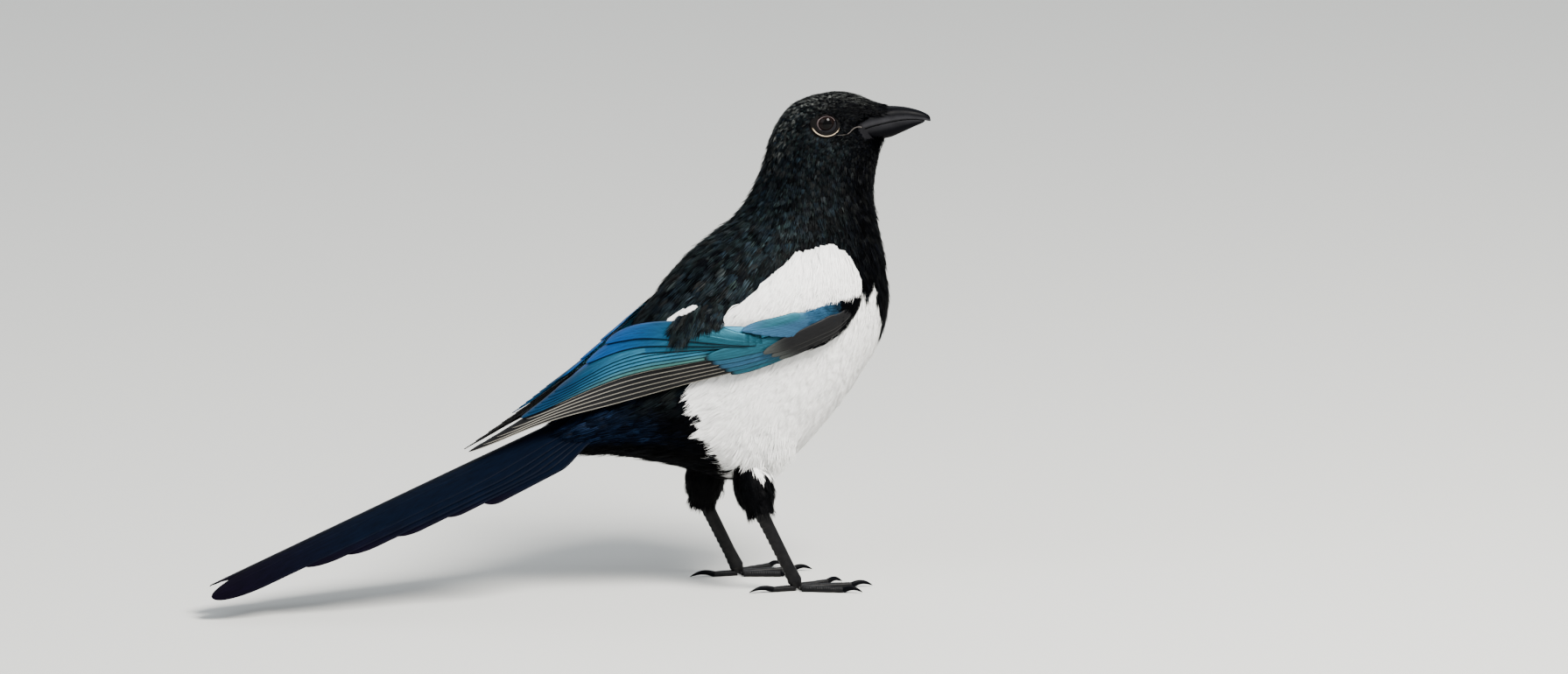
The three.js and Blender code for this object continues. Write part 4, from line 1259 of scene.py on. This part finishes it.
def tail_surface(level):
    """The sheet that one pair of tail feathers lies on: distance from the tail's root, and
    distance from the middle, positive to the left."""
    def place(along, out):
        drop = TAIL_ROOF * np.abs(out) + TAIL_BEND * out * out + level
        sink = drop * math.cos(TAIL_ROLL) - out * math.sin(TAIL_ROLL)
        x = TAIL_ROOT_X - along * math.cos(TAIL_SLOPE) - sink * math.sin(TAIL_SLOPE)
        y = out * math.cos(TAIL_ROLL) - drop * math.sin(TAIL_ROLL) * 0.3
        return np.stack([x, y, TAIL_ROOT_Z - along * math.sin(TAIL_SLOPE) - sink * math.cos(TAIL_SLOPE)], -1)
    return place


TAIL_OVERLAP, TAIL_SHORTER = 4 * MM, 5 * MM
TAIL_ROOT_SHARE = 0.62
MIDDLE_SHAFT, OUTER_SHAFT = 0.45, 0.6
TAIL_NAVY, TAIL_DARK = (0.0008, 0.0022, 0.0065), (0.0006, 0.0015, 0.0045)
TAIL_TIP, TAIL_EDGE = (0.0016, 0.0009, 0.0036), (0.0005, 0.0005, 0.001)
tail_tint = vane_tint((0, TAIL_NAVY), (1, TAIL_DARK), tip=TAIL_TIP, tip_from=0.55)
tail_finish = vane_finish("tail_vane", 0.5, 0, 1.4, 0.5, TAIL_EDGE, bump=0.3, sheen=0.02)
for name, side in SIDES.items():
    for pair in range(len(TAIL_LENGTHS)):
        inner, outer, length = TAIL_INNER[pair], TAIL_OUTER[pair], TAIL_LENGTHS[pair]
        under = pair == 0 and name == "left"
        inner, length = (-TAIL_OVERLAP, length - TAIL_SHORTER) if under else (inner, length)
        start = np.array([[0, TAIL_ROOT_SHARE * inner * side]])
        end = np.array([[length, inner * side]])
        sheet = tail_surface((pair + 0.5 * under) * TAIL_PITCH)
        shaft = MIDDLE_SHAFT if pair == 0 else OUTER_SHAFT
        feather = vanes(f"tail_vane_{pair + 1}_{name}", sheet, -side, start, end, outer - inner, 0, 0,
                        tail_tint, shaft=shaft, steps=60, across=15, root_share=TAIL_ROOT_SHARE, taper=0)
        dress(feather, tail_finish, "tail_black", f"tail_{pair + 1}_{name}")

# Bristles: stiff black feathers that lie forward over the nostrils and the bill's upper root, down
# to a slanting line on its side.
BRISTLE_COUNT = 1500
BRISTLE_LENGTH, BRISTLE_WIDTH = 8 * MM, 0.9 * MM
BRISTLE_SECTIONS, BRISTLE_DEGREES, BRISTLE_REACH = (0.9, 3.6), 92, 1.1


def bristle_weight(at, angle):
    """Forehead and bill root, above the bill's bare sides."""
    degrees = np.abs(np.degrees(angle))
    clear = ~inside(BARE_BILL, at - BRISTLE_REACH, degrees)
    along = (at > BRISTLE_SECTIONS[0]) * (at < BRISTLE_SECTIONS[1])
    return along * (degrees < BRISTLE_DEGREES) * clear * 1.0


at, angle = roots(BRISTLE_COUNT, bristle_weight)
long = BRISTLE_LENGTH * chance.uniform(0.75, 1.1, BRISTLE_COUNT) * (1 - 0.35 * smooth_step(1.5, 3.6, at))
# Black feather colours, with the crown's painted highlight specks.
tint = black_tint(at, angle)
turn = math.pi + chance.normal(0, 0.08, BRISTLE_COUNT)
high = chance.normal(0.25 * MM, 0.15 * MM, BRISTLE_COUNT)
bristles = feathers("nasal_bristles", body_place, at, angle, long, BRISTLE_WIDTH, turn, -1.0 * MM, high, 3,
                    tint, body_unwrap, camber=0.1, fray=0.15)
dress(bristles, black_plumage, "plumage_black")

# Legs: slender shanks with a row of broad overlapping scales down the front, four toes with small
# scales above and soft pads below, and curved claws.
TARSUS_SHARES = (0, 0.3, 0.75, 0.93, 1)
TARSUS_RADII = MM * np.array([3.6, 3.1, 2.9, 3.3, 2])
FOOT_SUNK = 2.6 * MM
TARSUS_NARROW = 0.72
FRONT_SCALES, FRONT_SCALE_HIGH = 15, 0.3 * MM
TOE_SCALES_PER_MM, TOE_SCALE_HIGH = 0.9, 0.18 * MM
PAD_HIGH = 0.14 * MM
SHANK_HIDDEN, SOLE_LIFT = 3 * MM, 1.2 * MM
TOE_LENGTHS = {"inner": 19, "middle": 27, "outer": 21, "hind": 14}
TOE_SPREADS = {"inner": 20, "middle": -2, "outer": -26, "hind": 182}
TOE_STARTS = {"inner": 0.4, "middle": 0.4, "outer": 0.4, "hind": 2}
TOES_BESIDE = {"inner": 3.3, "middle": 0, "outer": -3.3, "hind": 0}
CLAW_LENGTHS = {"inner": 8, "middle": 9, "outer": 8, "hind": 11}
TOE_RADIUS, FLAT_DEPTH, CLAW_RADIUS, GAP = 1.5 * MM, 0.25 * MM, 1.3 * MM, 0.35 * MM
TOE_JOINTS = {"inner": 2, "middle": 3, "outer": 4, "hind": 1}
CLAW_ARCH, CLAW_FALL, CLAW_INSIDE, CLAW_POINT = 1.26 * MM, 0.7 * MM, 1.2 * MM, 0.1 * MM
LEG_BLACK, LEG_DUST = (0.002, 0.002, 0.0025), (0.012, 0.0115, 0.011)
UP = np.array([0, 0, 1])


def scale_rows(count, high, where):
    """Overlapping scales: each row rises slowly and drops at its end, on the turned side only."""
    def bump(share, turn):
        saw = (share * count) % 1
        return high * (smooth_step(0, 0.8, saw) - smooth_step(0.88, 1, saw)) * where(turn)
    return bump


leg_scale = finish("leg_scale", Roughness=0.4, Specular_IOR_Level=0.12)
tree = leg_scale.node_tree
where = add(tree, "TexCoord").outputs["Object"]
plates = add(tree, "TexVoronoi", {"feature": "DISTANCE_TO_EDGE"}, Vector=where, Scale=1100.0)
dust = add(tree, "TexNoise", Vector=where, Scale=300.0, Detail=3.0)
dusty = mapped(tree, dust.outputs["Fac"], (0.45, 0.8), (0, 0.5))
leg_colour = add(tree, "Mix", {"data_type": "RGBA"}, _0=dusty, _6=LEG_BLACK, _7=LEG_DUST)
feed(leg_scale, "Base Color", leg_colour.outputs[2])
bumped(leg_scale, mapped(tree, plates.outputs["Distance"], (0, 0.12), (0, 1)), 0.5, 0.06 * MM)

for name, side in SIDES.items():
    hip, ankle, foot = LEGS[name]
    leg = unit(foot - ankle)
    share = np.linspace(0, 1, 180)[:, None]
    top, low = ankle - leg * SHANK_HIDDEN, foot - leg * SOLE_LIFT
    path = top + share * (low - FOOT_SUNK * UP - top)
    radii = np.interp(share[:, 0], TARSUS_SHARES, TARSUS_RADII)
    front = scale_rows(FRONT_SCALES, FRONT_SCALE_HIGH, lambda turn: smooth_step(-0.2, 0.4, -np.sin(turn)))
    shank = solid(f"shank_scales_{name}", along_path(path, radii, 40, TARSUS_NARROW, front))
    dress(shank, leg_scale, "leg_scales", f"shank_{name}")

    for toe, length in TOE_LENGTHS.items():
        heading = -side * math.radians(TOE_SPREADS[toe])
        forward = np.array([math.cos(heading), math.sin(heading), 0])
        base = np.array([foot[0], foot[1] - side * TOES_BESIDE[toe] * MM, 0])
        run = MM * np.linspace(TOE_STARTS[toe], length, 90)
        share = np.linspace(0, 1, 90)
        pads = np.abs(np.sin(math.pi * share * TOE_JOINTS[toe])) * PAD_HIGH
        radii = TOE_RADIUS * (1 - 0.2 * share) + pads - 0.5 * MM * smooth_step(0.93, 1, share)
        path = base + run[:, None] * forward + (TOE_RADIUS - FLAT_DEPTH) * UP
        above = scale_rows(round(length * TOE_SCALES_PER_MM), TOE_SCALE_HIGH,
                           lambda turn: smooth_step(0.1, 0.6, np.sin(turn)))
        rings = along_path(path, radii, 28, 1, above)
        rings[..., 2] = np.maximum(rings[..., 2], 0)
        dress(solid(f"toe_scales_{toe}_{name}", rings), leg_scale, "leg_scales", f"toe_{toe}_{name}")

        share = np.linspace(0, 1, 40)
        reach = MM * length + GAP - CLAW_INSIDE + (CLAW_LENGTHS[toe] * MM + CLAW_INSIDE) * share
        lift = TOE_RADIUS - FLAT_DEPTH + CLAW_ARCH * np.sin(math.pi * share) - CLAW_FALL * share ** 2
        path = base + reach[:, None] * forward + lift[:, None] * UP
        radii = CLAW_RADIUS * (1 - share ** 1.6) ** 0.8 + CLAW_POINT
        rings = along_path(path, radii, 20, 0.85)
        rings[..., 2] = np.maximum(rings[..., 2], 0)
        claw = solid(f"claw_horn_{toe}_{name}", rings)
        set_tint(claw, [HORN_DARK] * len(claw.data.vertices))
        dress(claw, horn, "horn", f"claw_{toe}_{name}")

size = {"cad": cad_box, "visual": [list(corner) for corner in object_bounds()]}
